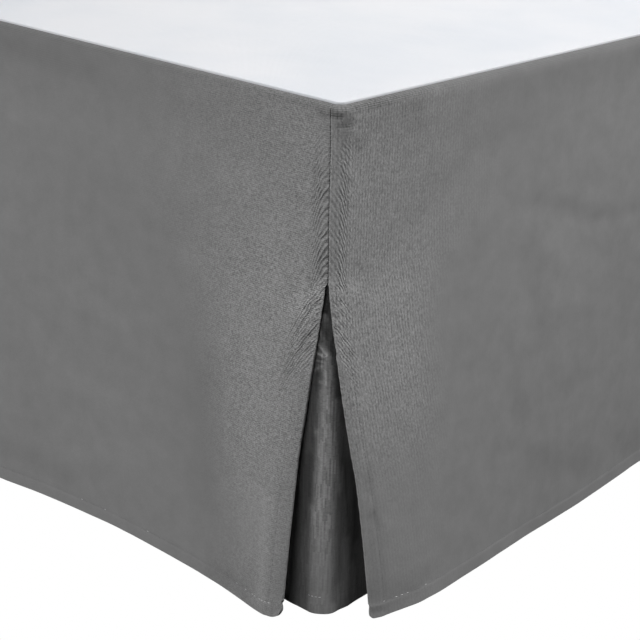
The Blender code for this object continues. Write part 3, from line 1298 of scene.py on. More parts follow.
    def place(self, along: float, inset: float, depth: float) -> Vector:
        """A point of the outer face in the row frame.

        Args:
            along: Distance along the cloth.
            inset: How far inside the drop the line lies.
            depth: Depth below the deck.

        Returns:
            The point.
        """
        moved = self.left.swing(depth) * fade(along, 0.0, SWING_REACH)
        moved -= self.right.swing(depth) * fade(self.length - along, 0.0, SWING_REACH)
        near = fade(self.seam_distance(along, depth), 0.0, SEAM_WANDER_REACH)
        moved += curve_through(SEAM_WANDER, depth) * near
        x, inward, angle = self.base(along + moved, depth)
        out = self.stand_out(x, along, depth) - inset + self.relief(along, depth)
        up = self.tip_rise(along, depth) - depth
        return self.to_row @ Vector((x + math.sin(angle) * out, inward - math.cos(angle) * out, up))

    def is_hem(self, along: float, depth: float) -> bool:
        """Whether the cloth is turned back double here.

        Args:
            along: Distance along the cloth.
            depth: Depth below the deck.

        Returns:
            True on a hem.
        """
        if depth > DROP - HEM_DEPTH:
            return True
        for end, distance in ((self.left, along), (self.right, self.length - along)):
            start = SPLIT_DEPTH + 0.050 if end.turn else ROLL_RADIUS
            if distance <= self.side_hem and depth > start:
                return True
        return False

    def handled(self, along: float, depth: float) -> float:
        """How rough the pleating has left the cloth and how much painted light it gets, 1 beside the opening.

        Args:
            along: Distance along the cloth.
            depth: Depth below the deck.

        Returns:
            The roughness, which also scales the painted light.
        """
        distance = self.seam_distance(along, depth)
        start, end = curve_through(self.handled_and_lit_from, depth), curve_through(self.handled_and_lit_to, depth)
        beside = fade(distance, start, end - start)
        low = mix(1.0, self.low_rough, smooth((depth - self.low_from) / 0.12))
        apex = 1.0 + self.apex_rough * bell(math.hypot(distance, depth - SPLIT_DEPTH - 0.015), 0.035)
        return mix(self.calm, low * apex, beside)

    def painted_shading(self, along: float, depth: float) -> float:
        """Painted shade on the rolled edge and in creases, with painted light where negative, up to 1.

        Args:
            along: Distance along the cloth.
            depth: Depth below the deck.

        Returns:
            The painted shading.
        """
        # Painted shade under the rolled edge and a painted dulling of its highlight.
        far = smooth((self.seam_distance(along, depth) - 0.020) / 0.060)
        rolled = self.rolled_painted_shade * fade(depth, 0.014, 0.050) * mix(0.4, 1.0, far)
        rolled += mix(1.35, 1.0, far) * curve_through(self.roll_painted_shading, depth / mix(1.5, 1.0, far))
        return min(rolled + total_painted_shading(self.creases, along, depth), 1.0)


@dataclass
class Insert(Sheet):
    """The piece behind a foot corner that fills the opening."""

    corner: tuple[float, float] = (0.0, 0.0)
    heading: float = 0.0
    seed: float = 0.0
    creases: Sequence[Crease] = ()
    inset: float = 0.0023
    fold_radius: float = 0.0137
    reach: float = 0.140
    top: float = 0.008
    sway: float = 0.0025
    hem: float = 0.0155
    stitch_rise: float = 0.0143
    crumple_from: float = 0.140
    crumple_to: float = 0.213
    step_height: float = 0.0001
    flute_height: float = 0.0005
    top_tuck: float = 0.0012
    fold_lift: float = 0.0009

    def __post_init__(self) -> None:
        """Work out the insert's fold and its flat size."""
        self.half_arc = self.fold_radius * QUARTER / 2
        self.half_length = self.half_arc + self.reach
        self.to_row = Matrix.Translation((*self.corner, BED.top)) @ Matrix.Rotation(self.heading, 4, "Z")
        self.flat = (2 * self.half_length, DROP - self.top + 2 * self.hem)

    def columns(self) -> list[float]:
        """Distances from the middle of the fold, towards the side positive."""
        marks = INSERT_COLUMNS.marks(self.half_length) + [self.half_length]
        return [-mark for mark in reversed(marks[1:])] + marks

    def rows(self) -> list[tuple[float, float]]:
        """Lines down the insert, close together where its top is crumpled.

        Returns:
            The (inset, depth) lines, from the top down.
        """
        depths = [self.top + mark for mark in INSERT_TOP_ROWS.marks(self.crumple_from - self.top)]
        fine = int((self.crumple_to - self.crumple_from) / FINE_ROW)
        depths += [self.crumple_from + step * FINE_ROW for step in range(fine)]
        depths += [self.crumple_to + mark for mark in INSERT_FOLD_ROWS.marks(HEM_ROWS_FROM - self.crumple_to)]
        return [(self.inset, depth) for depth in depths] + hem_rows(self.inset)

    def relief(self, along: float, depth: float) -> float:
        """Height of everything finer than the fold.

        Args:
            along: Distance along the cloth.
            depth: Depth below the deck.

        Returns:
            The height.
        """
        rise = DROP - depth
        height = self.step_height * fade(rise, self.hem, 0.0025)
        height -= self.step_height * bell(rise - self.stitch_rise, 0.0012)
        height += total_height(self.creases, along, depth)
        flutes = ripple((along * 95.0, depth * 9.0), self.seed)
        height += self.flute_height * smooth(depth / 0.20) * flutes
        return height - self.top_tuck * fade(depth, 0.030, 0.030)

    def place(self, along: float, inset: float, depth: float) -> Vector:
        """A point of the outer face in the row frame.

        Args:
            along: Distance along the cloth.
            inset: How far inside the drop the line lies.
            depth: Depth below the deck.

        Returns:
            The point.
        """
        radius = self.fold_radius
        angle = QUARTER / 2 + max(min(along, self.half_arc), -self.half_arc) / radius
        x = radius * (math.sin(angle) - 1.0) - inset + min(along + self.half_arc, 0.0)
        y = radius * (1.0 - math.cos(angle)) + inset + max(along - self.half_arc, 0.0)
        in_by = self.sway * smooth((depth - 0.20) / 0.18) * math.sin(14.0 * along) ** 2
        in_by -= self.relief(along, depth)
        lift = self.fold_lift * bell(along, 0.014) * smooth((depth - 0.300) / 0.080)
        return self.to_row @ Vector((x - in_by * math.sin(angle), y + in_by * math.cos(angle), lift - depth))

    def is_hem(self, along: float, depth: float) -> bool:
        """Whether the cloth is turned up double here."""
        return depth > DROP - self.hem

    def handled(self, along: float, depth: float) -> float:
        """How rough the cloth is and how much painted light it gets: most where its top is crumpled, then
        down its lit fold.

        Args:
            along: Distance along the cloth.
            depth: Depth below the deck.

        Returns:
            The roughness, which also scales the painted light.
        """
        top = fade(depth, 0.170, 0.050)
        fold = 0.7 * bell(along + 0.002, 0.009) * fade(depth, 0.300, 0.050)
        return 0.4 + 0.9 * max(top, fold)

    def painted_shading(self, along: float, depth: float) -> float:
        """Painted shade from creases, with painted light where negative, from 0 to 1."""
        return min(total_painted_shading(self.creases, along, depth), 1.0)


@dataclass
class Deck(Sheet):
    """The flat white sheet between mattress and box spring.

    Here along is x, and depth runs back from the foot to the head.
    """

    edge_inset: float = SEAM_INSET + DECK_SEAM_GAP
    hem_depth: float = 0.012
    wave_height: float = 0.0010
    fine_wave_height: float = 0.0005
    press_marks: int = 3
    mark_height: float = 0.0009
    mark_width: float = 0.004

    def __post_init__(self) -> None:
        """Work out the deck's size from the bed."""
        self.half_width = BED.half_width - self.edge_inset
        self.front = BED.foot + self.edge_inset
        self.radius = CORNER_RADIUS - self.edge_inset
        self.back = BED.head - self.front
        self.flat = (2 * self.half_width + 2 * self.hem_depth, self.back + self.hem_depth)

    def columns(self) -> list[float]:
        """Distances from side to side."""
        low = [-self.half_width + mark for mark in DECK_LINES.marks(self.half_width)]
        return low + [-x for x in reversed(low)]

    def rows(self) -> list[tuple[float, float]]:
        """Distances from the foot edge to the head edge."""
        return [(0.0, y) for y in DECK_LINES.from_both_ends(self.back, DECK_HEAD_LINES)]

    def lift(self, x: float, y: float) -> float:
        """Soft waves and press marks above the box spring, none at the edges.

        Args:
            x: Distance right of the middle.
            y: Distance from the foot edge.

        Returns:
            The height.
        """
        edge = min(self.half_width - abs(x), y, self.back - y)
        free = smooth((edge - self.hem_depth) / 0.10)
        waves = self.wave_height * (1.0 + ripple((x * 4.0, y * 5.0), 2.0))
        waves += self.fine_wave_height * (1.0 + ripple((x * 14.0, y * 9.0), 4.0))
        spacing = self.back / (self.press_marks + 1)
        across = sum(bell(y - spacing * (k + 1), self.mark_width) for k in range(self.press_marks))
        return free * (waves + self.mark_height * (across + bell(x - self.mark_width, self.mark_width)))

    def place(self, along: float, inset: float, depth: float) -> Vector:
        """A point of the upper face in the row frame.

        Args:
            along: Distance right of the middle.
            inset: Not used, because the deck is flat.
            depth: Distance from the foot edge.

        Returns:
            The point.
        """
        x, y = along, self.front + depth
        centre_x = math.copysign(self.half_width - self.radius, x)
        centre_y = self.front + self.radius
        out_x, out_y = abs(x) - abs(centre_x), centre_y - y
        if out_x > 0.0 and out_y > 0.0:
            scale = max(out_x, out_y) / math.hypot(out_x, out_y)
            x = centre_x + math.copysign(out_x * scale, x)
            y = centre_y - out_y * scale
        return Vector((x, y, BED.top + self.lift(along, depth)))


# ---- Sewing ----


@dataclass(frozen=True)
class StitchLine:
    """A run of stitches on a sheet.

    at reads a point of the cloth's face from a distance along the run. loose lists
    (start, end) stretches where the thread lies proud and takes a painted highlight.
    """

    length: float
    at: Callable[[float], Vector]
    outward: Callable[[float], Vector]
    loose: Sequence[tuple[float, float]] = ()


@dataclass
class Stitching:
    """Rows of lock stitches, joined as one piece."""

    name: str
    finish: bpy.types.Material
    slot: str = "grey_cloth"
    pitch: float = 0.0028
    stitch_length: float = 0.0021
    thickness: float = 0.00046
    sink: float = 0.00004

    # The loose mark sets each stitch's painted highlight.
    LOOSE_AND_LIT = "loose"

    def build(self, lines: Sequence[StitchLine]) -> bpy.types.Object:
        """Sew the lines.

        Args:
            lines: The runs of stitches.

        Returns:
            The finished piece, riding on the body.
        """
        pattern = self.pattern()
        loose = pattern.attributes.new(self.LOOSE_AND_LIT, "FLOAT", "POINT")
        bm = bmesh.new()
        for line in lines:
            count = int(line.length / self.pitch)
            for number in range(count):
                middle = (number + 0.5) * self.pitch
                proud = any(start <= middle <= end for start, end in line.loose)
                # share is the stitch's painted highlight, low on sunk stitches, which keep their painted
                # shade.
                share = (0.9 if proud else 0.1) * (1.0 + 0.4 * ripple((middle * 400.0, 0.0), 5.0))
                loose.data.foreach_set("value", [share] * len(pattern.vertices))
                turn = self.lay(line, middle, share)
                pattern.transform(turn)
                bm.from_mesh(pattern)
                pattern.transform(turn.inverted())
        bpy.data.meshes.remove(pattern)
        for face in bm.faces:
            face.smooth = True
        piece = make_object(self.name, bm, [self.finish])
        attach(piece, BODY)
        return piece

    def pattern(self) -> bpy.types.Mesh:
        """One stitch: a small bead, to be stretched along its run.

        Returns:
            The bead's mesh.
        """
        bm = bmesh.new()
        bmesh.ops.create_icosphere(bm, subdivisions=1, radius=0.5)
        mesh = bpy.data.meshes.new("stitch")
        bm.to_mesh(mesh)
        bm.free()
        return mesh

    def lay(self, line: StitchLine, middle: float, share: float) -> Matrix:
        """Place, turn and stretch one stitch.

        Args:
            line: The run it belongs to.
            middle: Its middle, along the run.
            share: How proud it lies.

        Returns:
            Its place, turn and size.
        """
        half = self.stitch_length / 2
        start, end = line.at(middle - half), line.at(middle + half)
        run = (end - start).normalized()
        out = line.outward(middle)
        out = (out - run * out.dot(run)).normalized()
        side = run.cross(out)
        thickness = self.thickness * (1.0 + 0.3 * share)
        centre = (start + end) / 2 - out * self.sink
        turn = Matrix((run, side, out)).transposed().to_4x4()
        size = Matrix.Diagonal((self.stitch_length, thickness, thickness, 1.0))
        return Matrix.Translation(centre) @ turn @ size


def face_outward(at: Callable[[float, float], Vector], along: float, depth: float) -> Vector:
    """The outward direction of a sheet's face, from three nearby points.

    Args:
        at: Reads a point of the sheet from (along, depth).
        along: Distance along the cloth.
        depth: Depth below the deck.

    Returns:
        The direction.
    """
    step = 0.0015
    middle = at(along, depth)
    right = at(along + step, depth) - middle
    down = at(along, depth + step) - middle
    return down.cross(right).normalized()


def run_on(sheet: Sheet, inset: float, path: Callable[[float], tuple[float, float]], length: float,
           loose: Sequence[tuple[float, float]] = ()) -> StitchLine:
    """Lay a run of stitches on a sheet.

    Args:
        sheet: The sheet that is sewn.
        inset: The sheet's inset at the run.
        path: Reads (along, depth) from a distance along the run.
        length: The run's length.
        loose: Stretches where the thread lies proud and takes a painted highlight.

    Returns:
        The run.
    """
    def at(along: float, depth: float) -> Vector:
        """Read a point of the sheet at the run's inset."""
        return sheet.place(along, inset, depth)

    return StitchLine(
        length,
        lambda distance: at(*path(distance)),
        lambda distance: face_outward(at, *path(distance)),
        loose,
    )


# ---- Folds and creases ----

# How far each hem stands out, as (distance from the panel's left end, distance out).
FOOT_FOLDS = (
    (0.030, 0.021), (0.065, 0.026), (0.170, 0.015), (0.300, 0.020), (0.420, 0.027), (0.560, 0.016),
    (0.700, 0.012), (0.860, 0.022), (0.960, 0.018), (1.090, 0.030), (1.176, 0.027), (1.222, 0.0205),
    (1.268, 0.016), (1.314, 0.013), (1.386, 0.014), (1.434, 0.017), (1.459, 0.0205), (1.484, 0.024),
    (1.494, 0.0225),
)
RIGHT_FOLDS = (
    (0.028, 0.0225), (0.043, 0.0272), (0.058, 0.0298), (0.078, 0.0322), (0.100, 0.0324), (0.150, 0.0300),
    (0.205, 0.0269), (0.264, 0.0246), (0.328, 0.0213), (0.398, 0.0162), (0.500, 0.012), (0.640, 0.020),
    (0.780, 0.028), (0.930, 0.019), (1.060, 0.013), (1.230, 0.022), (1.390, 0.029), (1.540, 0.020),
    (1.690, 0.013), (1.850, 0.019), (2.032, 0.024),
)
LEFT_FOLDS = (
    (0.000, 0.020), (0.190, 0.014), (0.370, 0.025), (0.520, 0.029), (0.690, 0.018), (0.850, 0.012),
    (1.020, 0.021), (1.170, 0.028), (1.320, 0.017), (1.500, 0.014), (1.680, 0.024), (1.830, 0.0324),
    (1.950, 0.029), (2.002, 0.021),
)

# The foot panel's creases, mostly beside its right end. Their dark is painted shade, or painted light where
# negative.
FOOT_CREASES = straight(
    (1.4980, 0.0062, 1.5060, 0.0072, 0.0022, -0.0005, 0.50),
    (1.4880, 0.0095, 1.4980, 0.0075, 0.0030, -0.0003, 0.20),
    (1.3740, 0.1300, 1.4140, 0.3300, 0.0280, -0.0030, 0.00),
    (1.3900, 0.1600, 1.4150, 0.3300, 0.0140, -0.0002, 0.10),
    (1.4050, 0.2250, 1.4480, 0.3650, 0.0300, 0.0000, 0.17),
    (1.4300, 0.3720, 1.4700, 0.3720, 0.0110, 0.0000, 0.22),
    (1.5040, 0.2000, 1.5040, 0.3700, 0.0055, 0.0000, 0.24),
    (1.4820, 0.2950, 1.4880, 0.3700, 0.0060, 0.0003, -0.26),
    (1.4580, 0.1450, 1.4680, 0.3100, 0.0360, 0.0000, -0.20),
    (1.5050, 0.1270, 1.4880, 0.1450, 0.0090, 0.0006, -0.42),
    (1.4300, 0.0750, 1.4600, 0.0950, 0.0200, 0.0000, -0.14),
    (1.2420, 0.1620, 1.2720, 0.1740, 0.0120, 0.0005, -0.06),
    (1.2570, 0.1980, 1.3140, 0.2100, 0.0120, 0.0008, -0.10),
    (1.2030, 0.2400, 1.2270, 0.2550, 0.0110, 0.0006, -0.08),
    (1.2360, 0.2670, 1.3110, 0.2820, 0.0140, 0.0009, -0.12),
    (1.2510, 0.3330, 1.3290, 0.3150, 0.0150, 0.0006, -0.07),
    (1.1640, 0.0690, 1.1940, 0.0750, 0.0040, 0.0003, -0.08),
    (1.1200, 0.0180, 1.2700, 0.0170, 0.0110, -0.0006, 0.14),
    (1.1760, 0.2090, 1.1970, 0.2070, 0.0080, -0.0003, 0.09),
    (1.1970, 0.3000, 1.2120, 0.3240, 0.0060, -0.0004, 0.13),
    (1.1670, 0.3480, 1.2480, 0.3600, 0.0100, -0.0004, 0.14),
    (1.0500, 0.0700, 1.3100, 0.1000, 0.0800, 0.0000, 0.05),
    (1.1300, 0.3100, 1.3300, 0.3000, 0.0500, 0.0000, -0.06),
)
# The right panel's creases, mostly beside its left end. Their dark is painted shade, or painted light where
# negative.
RIGHT_CREASES = straight(
    (0.0000, 0.0060, 0.0075, 0.0064, 0.0019, -0.0006, 0.85),
    (0.0040, 0.0092, 0.0150, 0.0114, 0.0036, -0.0004, 0.42),
    (0.0040, 0.0126, 0.0130, 0.0132, 0.0012, -0.0004, 0.45),
    (0.0060, 0.0155, 0.0110, 0.0165, 0.0024, 0.0000, 0.25),
    (0.0150, 0.0100, 0.0240, 0.0130, 0.0042, -0.0003, 0.20),
    (0.0150, 0.0180, 0.0220, 0.0260, 0.0070, 0.0000, 0.36),
    (0.0350, 0.0060, 0.0850, 0.0080, 0.0090, 0.0000, 0.32),
    (0.0350, 0.0240, 0.0900, 0.0260, 0.0100, 0.0000, 0.16),
    (0.0060, 0.1250, 0.0210, 0.1280, 0.0085, 0.0003, -0.45),
    (0.0200, 0.1950, 0.0240, 0.3100, 0.0100, 0.0000, -0.14),
    (0.0060, 0.0300, 0.0060, 0.1280, 0.0080, 0.0000, -0.25),
    (0.0600, 0.1500, 0.0450, 0.2200, 0.0300, 0.0000, -0.10),
    (0.0300, 0.1400, 0.0500, 0.1460, 0.0070, 0.0004, -0.16),
    (0.0090, 0.2700, 0.0068, 0.2780, 0.0028, -0.0004, 0.22),
    (0.0095, 0.2880, 0.0080, 0.2960, 0.0026, 0.0004, -0.20),
    (0.0090, 0.2990, 0.0130, 0.3090, 0.0030, -0.0005, 0.26),
    (0.0040, 0.3620, 0.0500, 0.3620, 0.0110, 0.0000, 0.22),
    (0.3000, 0.0500, 0.4200, 0.0850, 0.0420, 0.0000, -0.06),
    (0.2313, 0.1080, 0.3033, 0.1370, 0.0080, -0.0006, 0.10),
    (0.3130, 0.1400, 0.3700, 0.1440, 0.0090, -0.0005, 0.09),
    (0.3400, 0.1700, 0.3700, 0.2150, 0.0220, 0.0000, 0.09),
    (0.2150, 0.1500, 0.2320, 0.2250, 0.0130, -0.0005, 0.11),
    (0.2433, 0.1470, 0.3153, 0.1890, 0.0100, 0.0006, -0.09),
    (0.2500, 0.1900, 0.3000, 0.2050, 0.0110, 0.0004, -0.06),
    (0.1893, 0.1860, 0.2073, 0.2190, 0.0060, 0.0004, -0.09),
    (0.2193, 0.2340, 0.2283, 0.2460, 0.0040, 0.0003, -0.09),
    (0.1930, 0.2660, 0.1990, 0.2760, 0.0100, -0.0004, 0.19),
    (0.2620, 0.2680, 0.2790, 0.2720, 0.0080, -0.0002, 0.10),
    (0.1533, 0.2940, 0.1850, 0.3000, 0.0050, -0.0003, 0.13),
    (0.2050, 0.3180, 0.3050, 0.3560, 0.0130, -0.0005, 0.20),
    (0.2200, 0.3540, 0.2300, 0.3580, 0.0080, -0.0003, 0.12),
    (0.3650, 0.3520, 0.3900, 0.3660, 0.0130, -0.0004, 0.22),
)
# Painted shade over the right panel's rolled edge by depth, with painted light where negative.
RIGHT_ROLL_PAINTED_SHADING = (
    (-0.0003, 0.62), (0.0008, 0.60), (0.0022, 0.42), (0.0030, 0.22), (0.0036, 0.06),
    (0.0050, -0.17), (0.0064, -0.12), (0.0090, 0.0),
)
# How far the right panel's hem line wavers.
RIGHT_HEM_WAVE = (
    (0.000, -0.0006), (0.008, -0.0003), (0.016, 0.0007), (0.026, 0.0004), (0.045, -0.0003),
    (0.056, 0.0001), (0.075, -0.0006), (0.110, -0.0006), (0.150, -0.0005), (0.210, -0.0002),
    (0.300, -0.0005), (0.450, -0.0005),
)
# The left panel's creases; their dark is painted shade, or painted light where negative.
LEFT_CREASES = straight(
    (2.010, 0.0090, 2.026, 0.0100, 0.0035, -0.0009, 0.60),
    (1.900, 0.1300, 1.930, 0.3300, 0.0260, -0.0030, 0.08),
    (1.640, 0.1200, 1.720, 0.2600, 0.0220, 0.0014, -0.08),
)

# Where the insert shows beside the foot panel's edge.
FOOT_EDGE_VIEW = (
    (-0.0088, 0.1450), (-0.0112, 0.1650), (-0.0136, 0.1900), (-0.0185, 0.2180), (-0.0228, 0.2520),
    (-0.0264, 0.2880), (-0.0308, 0.3320), (-0.0338, 0.3760),
)

# The crumpled top of an insert, just below the opening's point, and its lit fold, in painted shade and
# painted light.
INSERT_CREASES = (
    Crease((0.0000, 0.1180), (0.0000, 0.1330), 0.0160, 0.0000, 0.80),
    Crease((-0.0005, 0.1400), (0.0005, 0.1660), 0.0047, 0.0000, 1.00),
    Crease((0.0032, 0.1500), (0.0040, 0.1620), 0.0024, 0.0000, 0.50),
    Crease((0.0008, 0.1700), (0.0045, 0.1880), 0.0025, 0.0000, 0.36),
    Crease((-0.0130, 0.2200), (-0.0140, 0.2400), 0.0040, 0.0000, 0.20),
    Crease((0.0026, 0.1700), (0.0060, 0.2050), 0.0036, 0.0000, 0.80),
    Crease((0.0085, 0.1900), (0.0115, 0.2240), 0.0038, 0.0000, 0.50),
    # Painted highlights on the crumpled top's ridges and painted shade in its hollows, from its point down.
    Crease((-0.0050, 0.1375), (-0.0050, 0.1400), 0.0016, 0.0002, -0.30),
    Crease((-0.0075, 0.1435), (-0.0035, 0.1425), 0.0012, -0.0002, 0.45),
    Crease((-0.0055, 0.1458), (-0.0048, 0.1485), 0.0016, 0.0003, -0.80),
    Crease((-0.0092, 0.1560), (-0.0062, 0.1630), 0.0010, 0.0004, -0.80),
    Crease((-0.0105, 0.1660), (-0.0075, 0.1698), 0.0010, 0.0006, -1.50),
    Crease((-0.0066, 0.1708), (-0.0032, 0.1748), 0.0010, 0.0006, -0.85),
    Crease((-0.0108, 0.1705), (-0.0072, 0.1728), 0.0008, -0.0004, 0.40),
    Crease((-0.0128, 0.1746), (-0.0088, 0.1748), 0.0009, 0.0006, -1.70),
    Crease((-0.0078, 0.1750), (-0.0048, 0.1767), 0.0009, 0.0006, -1.20),
    Crease((-0.0036, 0.1760), (-0.0026, 0.1778), 0.0012, 0.0004, -0.55),
    Crease((-0.0125, 0.1785), (-0.0055, 0.1787), 0.0009, -0.0006, 0.55),
    Crease((-0.0120, 0.1806), (-0.0045, 0.1800), 0.0006, 0.0003, -0.45),
    Crease((-0.0125, 0.1822), (-0.0050, 0.1815), 0.0006, -0.0003, 0.45),
    *bent(((-0.0145, 0.1888), (-0.0090, 0.1855), (-0.0058, 0.1826)), 0.0010, 0.0004, -0.55),
    *bent(((-0.0040, 0.1800), (-0.0036, 0.1890), (-0.0026, 0.1960)), 0.0013, 0.0005, -0.60),
    Crease((-0.0072, 0.1955), (-0.0010, 0.1975), 0.0012, 0.0004, -0.40),
    Crease((-0.0038, 0.2000), (-0.0028, 0.2130), 0.0030, 0.0000, -0.25),
    # The fold's shaded side with painted shade, then its lit side with painted light.
    Crease((-0.0098, 0.1900), (-0.0095, 0.2300), 0.0028, -0.0004, 0.60),
    Crease((-0.0108, 0.2400), (-0.0118, 0.2900), 0.0035, -0.0004, 0.50),
    Crease((-0.0165, 0.2550), (-0.0175, 0.3100), 0.0040, 0.0000, 0.38),
    Crease((0.0000, 0.2150), (-0.0005, 0.2400), 0.0016, 0.0002, -0.35),
    *bent(((-0.0042, 0.1560), (-0.0022, 0.1640), (-0.0002, 0.1720)), 0.0036, 0.0, 0.55),
    Crease((-0.0074, 0.1830), (-0.0068, 0.1990), 0.0016, 0.0000, 0.50),
    Crease((0.0070, 0.2750), (0.0082, 0.3700), 0.0034, -0.0004, 0.42),
    Crease((0.0108, 0.2850), (0.0138, 0.3550), 0.0036, 0.0000, 0.42),
    Crease((0.0135, 0.2640), (0.0152, 0.2830), 0.0026, 0.0005, -0.35),
    Crease((0.0165, 0.2880), (0.0190, 0.3160), 0.0030, 0.0005, -0.40),
    Crease((0.0205, 0.3250), (0.0240, 0.3780), 0.0044, 0.0005, -1.00),
    Crease((0.0270, 0.3480), (0.0300, 0.3780), 0.0038, 0.0000, -1.20),
    *bent(((0.0205, 0.2560), (0.0232, 0.2740), (0.0278, 0.3020), (0.0312, 0.3300)), 0.0048, 0.0, 0.60),
    # Painted light on the shadowed strip beside the foot panel's edge, then ridges that raise it.
    *bent(FOOT_EDGE_VIEW[:5], 0.0017, 0.0, -1.30),
    *bent(FOOT_EDGE_VIEW[4:7], 0.0021, 0.0, -1.10),
    *bent(FOOT_EDGE_VIEW[6:], 0.0027, 0.0, -2.00),
    *bent(FOOT_EDGE_VIEW[2:6], 0.0060, 0.0017, 0.0),
    *bent(((-0.0096, 0.1480), (-0.0128, 0.1680), (-0.0150, 0.1880)), 0.0034, 0.0014, 0.0),
)


# ---- The box spring and legs ----


@dataclass
class BoxSpring:
    """The upholstered box that the skirt is laid over."""

    corner: float = 0.025
    rim: float = 0.008
    crown: float = 0.0011
    welt_radius: float = 0.0024
    dust_inset: float = 0.012
    levels: int = 6
    corner_steps: int = 8
    rim_steps: int = 3

    def __post_init__(self) -> None:
        """Take the box's size from its solid."""
        self.low, self.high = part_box("box_spring")

    def build(self, cover: bpy.types.Material, underside: bpy.types.Material) -> None:
        """Make the covered box and the two welts round its rims.

        Args:
            cover: The finish of the sides and top.
            underside: The finish of the dust cover.
        """
        box = self.covered_box(cover, underside)
        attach(box, BODY)
        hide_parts("box_spring")
        LOG.info("box spring cover")
        for name, z in (("lower_welt", self.low.z + self.rim), ("upper_welt", self.high.z - self.rim)):
            welt = self.welt(name, z, cover)
            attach(welt, BODY)
            LOG.info(name.replace("_", " "))

    def covered_box(self, cover: bpy.types.Material, underside: bpy.types.Material) -> bpy.types.Object:
        """A block with rounded corners and rims, whose sides crown a little.

        Args:
            cover: The finish of the sides and top.
            underside: The finish of the dust cover.

        Returns:
            The box.
        """
        size = self.high - self.low
        middle = (self.high + self.low) / 2
        bm = bmesh.new()
        place = Matrix.Translation(middle) @ Matrix.Diagonal((*size, 1.0))
        bmesh.ops.create_cube(bm, size=1.0, matrix=place)
        upright = [edge for edge in bm.edges if abs(edge.verts[0].co.z - edge.verts[1].co.z) > size.z / 2]
        bmesh.ops.bevel(bm, geom=upright, offset=self.corner, offset_type="OFFSET",
                        segments=self.corner_steps, profile=0.5, affect="EDGES", material=-1)
        rims = [edge for edge in bm.edges if abs(edge.verts[0].co.z - edge.verts[1].co.z) < 1e-6]
        bmesh.ops.bevel(bm, geom=rims, offset=self.rim, offset_type="OFFSET",
                        segments=self.rim_steps, profile=0.5, affect="EDGES", material=-1)
        self.cut_levels(bm, size.z)
        for vert in bm.verts:
            height = (vert.co.z - self.low.z - self.rim) / (size.z - 2 * self.rim)
            if 0.0 < height < 1.0:
                out = Vector((vert.co.x - middle.x, vert.co.y - middle.y, 0.0)).normalized()
                vert.co += out * self.crown * math.sin(math.pi * height)
        under = [face for face in bm.faces if face.normal.z < -0.99 and face.calc_area() > 0.5]
        bmesh.ops.inset_region(bm, faces=under, thickness=self.dust_inset, depth=0.0)
        for face in under:
            face.material_index = 1
        for face in bm.faces:
            face.smooth = abs(face.normal.z) < 0.99
        return make_object("box_spring_cover", bm, [cover, underside])

    def cut_levels(self, bm: bmesh.types.BMesh, height: float) -> None:
        """Cut the sides into level bands, so that they can crown.

        Args:
            bm: The box.
            height: Its height.
        """
        for level in range(1, self.levels):
            z = self.low.z + self.rim + (height - 2 * self.rim) * level / self.levels
            geometry = bm.verts[:] + bm.edges[:] + bm.faces[:]
            bmesh.ops.bisect_plane(bm, geom=geometry, plane_co=(0.0, 0.0, z), plane_no=(0.0, 0.0, 1.0))

    def rounded_outline(self) -> Iterator[Vector]:
        """Points round the box, with its corners as arcs.

        Returns:
            The points, at no height.
        """
        left, right = self.low.x + self.corner, self.high.x - self.corner
        front, back = self.low.y + self.corner, self.high.y - self.corner
        for quarter, centre in enumerate(((right, back), (left, back), (left, front), (right, front))):
            for step in range(self.corner_steps + 1):
                angle = QUARTER * (quarter + step / self.corner_steps)
                arm = Vector((math.cos(angle), math.sin(angle), 0.0)) * self.corner
                yield Vector((*centre, 0.0)) + arm

    def welt(self, name: str, z: float, cover: bpy.types.Material) -> bpy.types.Object:
        """A covered cord sewn round the box.

        Args:
            name: The cord's name.
            z: Its height.
            cover: Its finish.

        Returns:
            The cord.
        """
        curve = bpy.data.curves.new(name, "CURVE")
        curve.dimensions = "3D"
        curve.bevel_depth = self.welt_radius
        curve.bevel_resolution = 3
        points = list(self.rounded_outline())
        spline = curve.splines.new("POLY")
        spline.points.add(len(points) - 1)
        for target, point in zip(spline.points, points):
            target.co = (point.x, point.y, z, 1.0)
        spline.use_cyclic_u = True
        spline.use_smooth = True
        curve.materials.append(cover)
        obj = bpy.data.objects.new(name, curve)
        bpy.context.scene.collection.objects.link(obj)
        return obj


@dataclass(frozen=True)
class TurnedPoint:
    """A point of a leg's outline: its radius, and its height as a share of the leg."""

    radius: float
    height: float


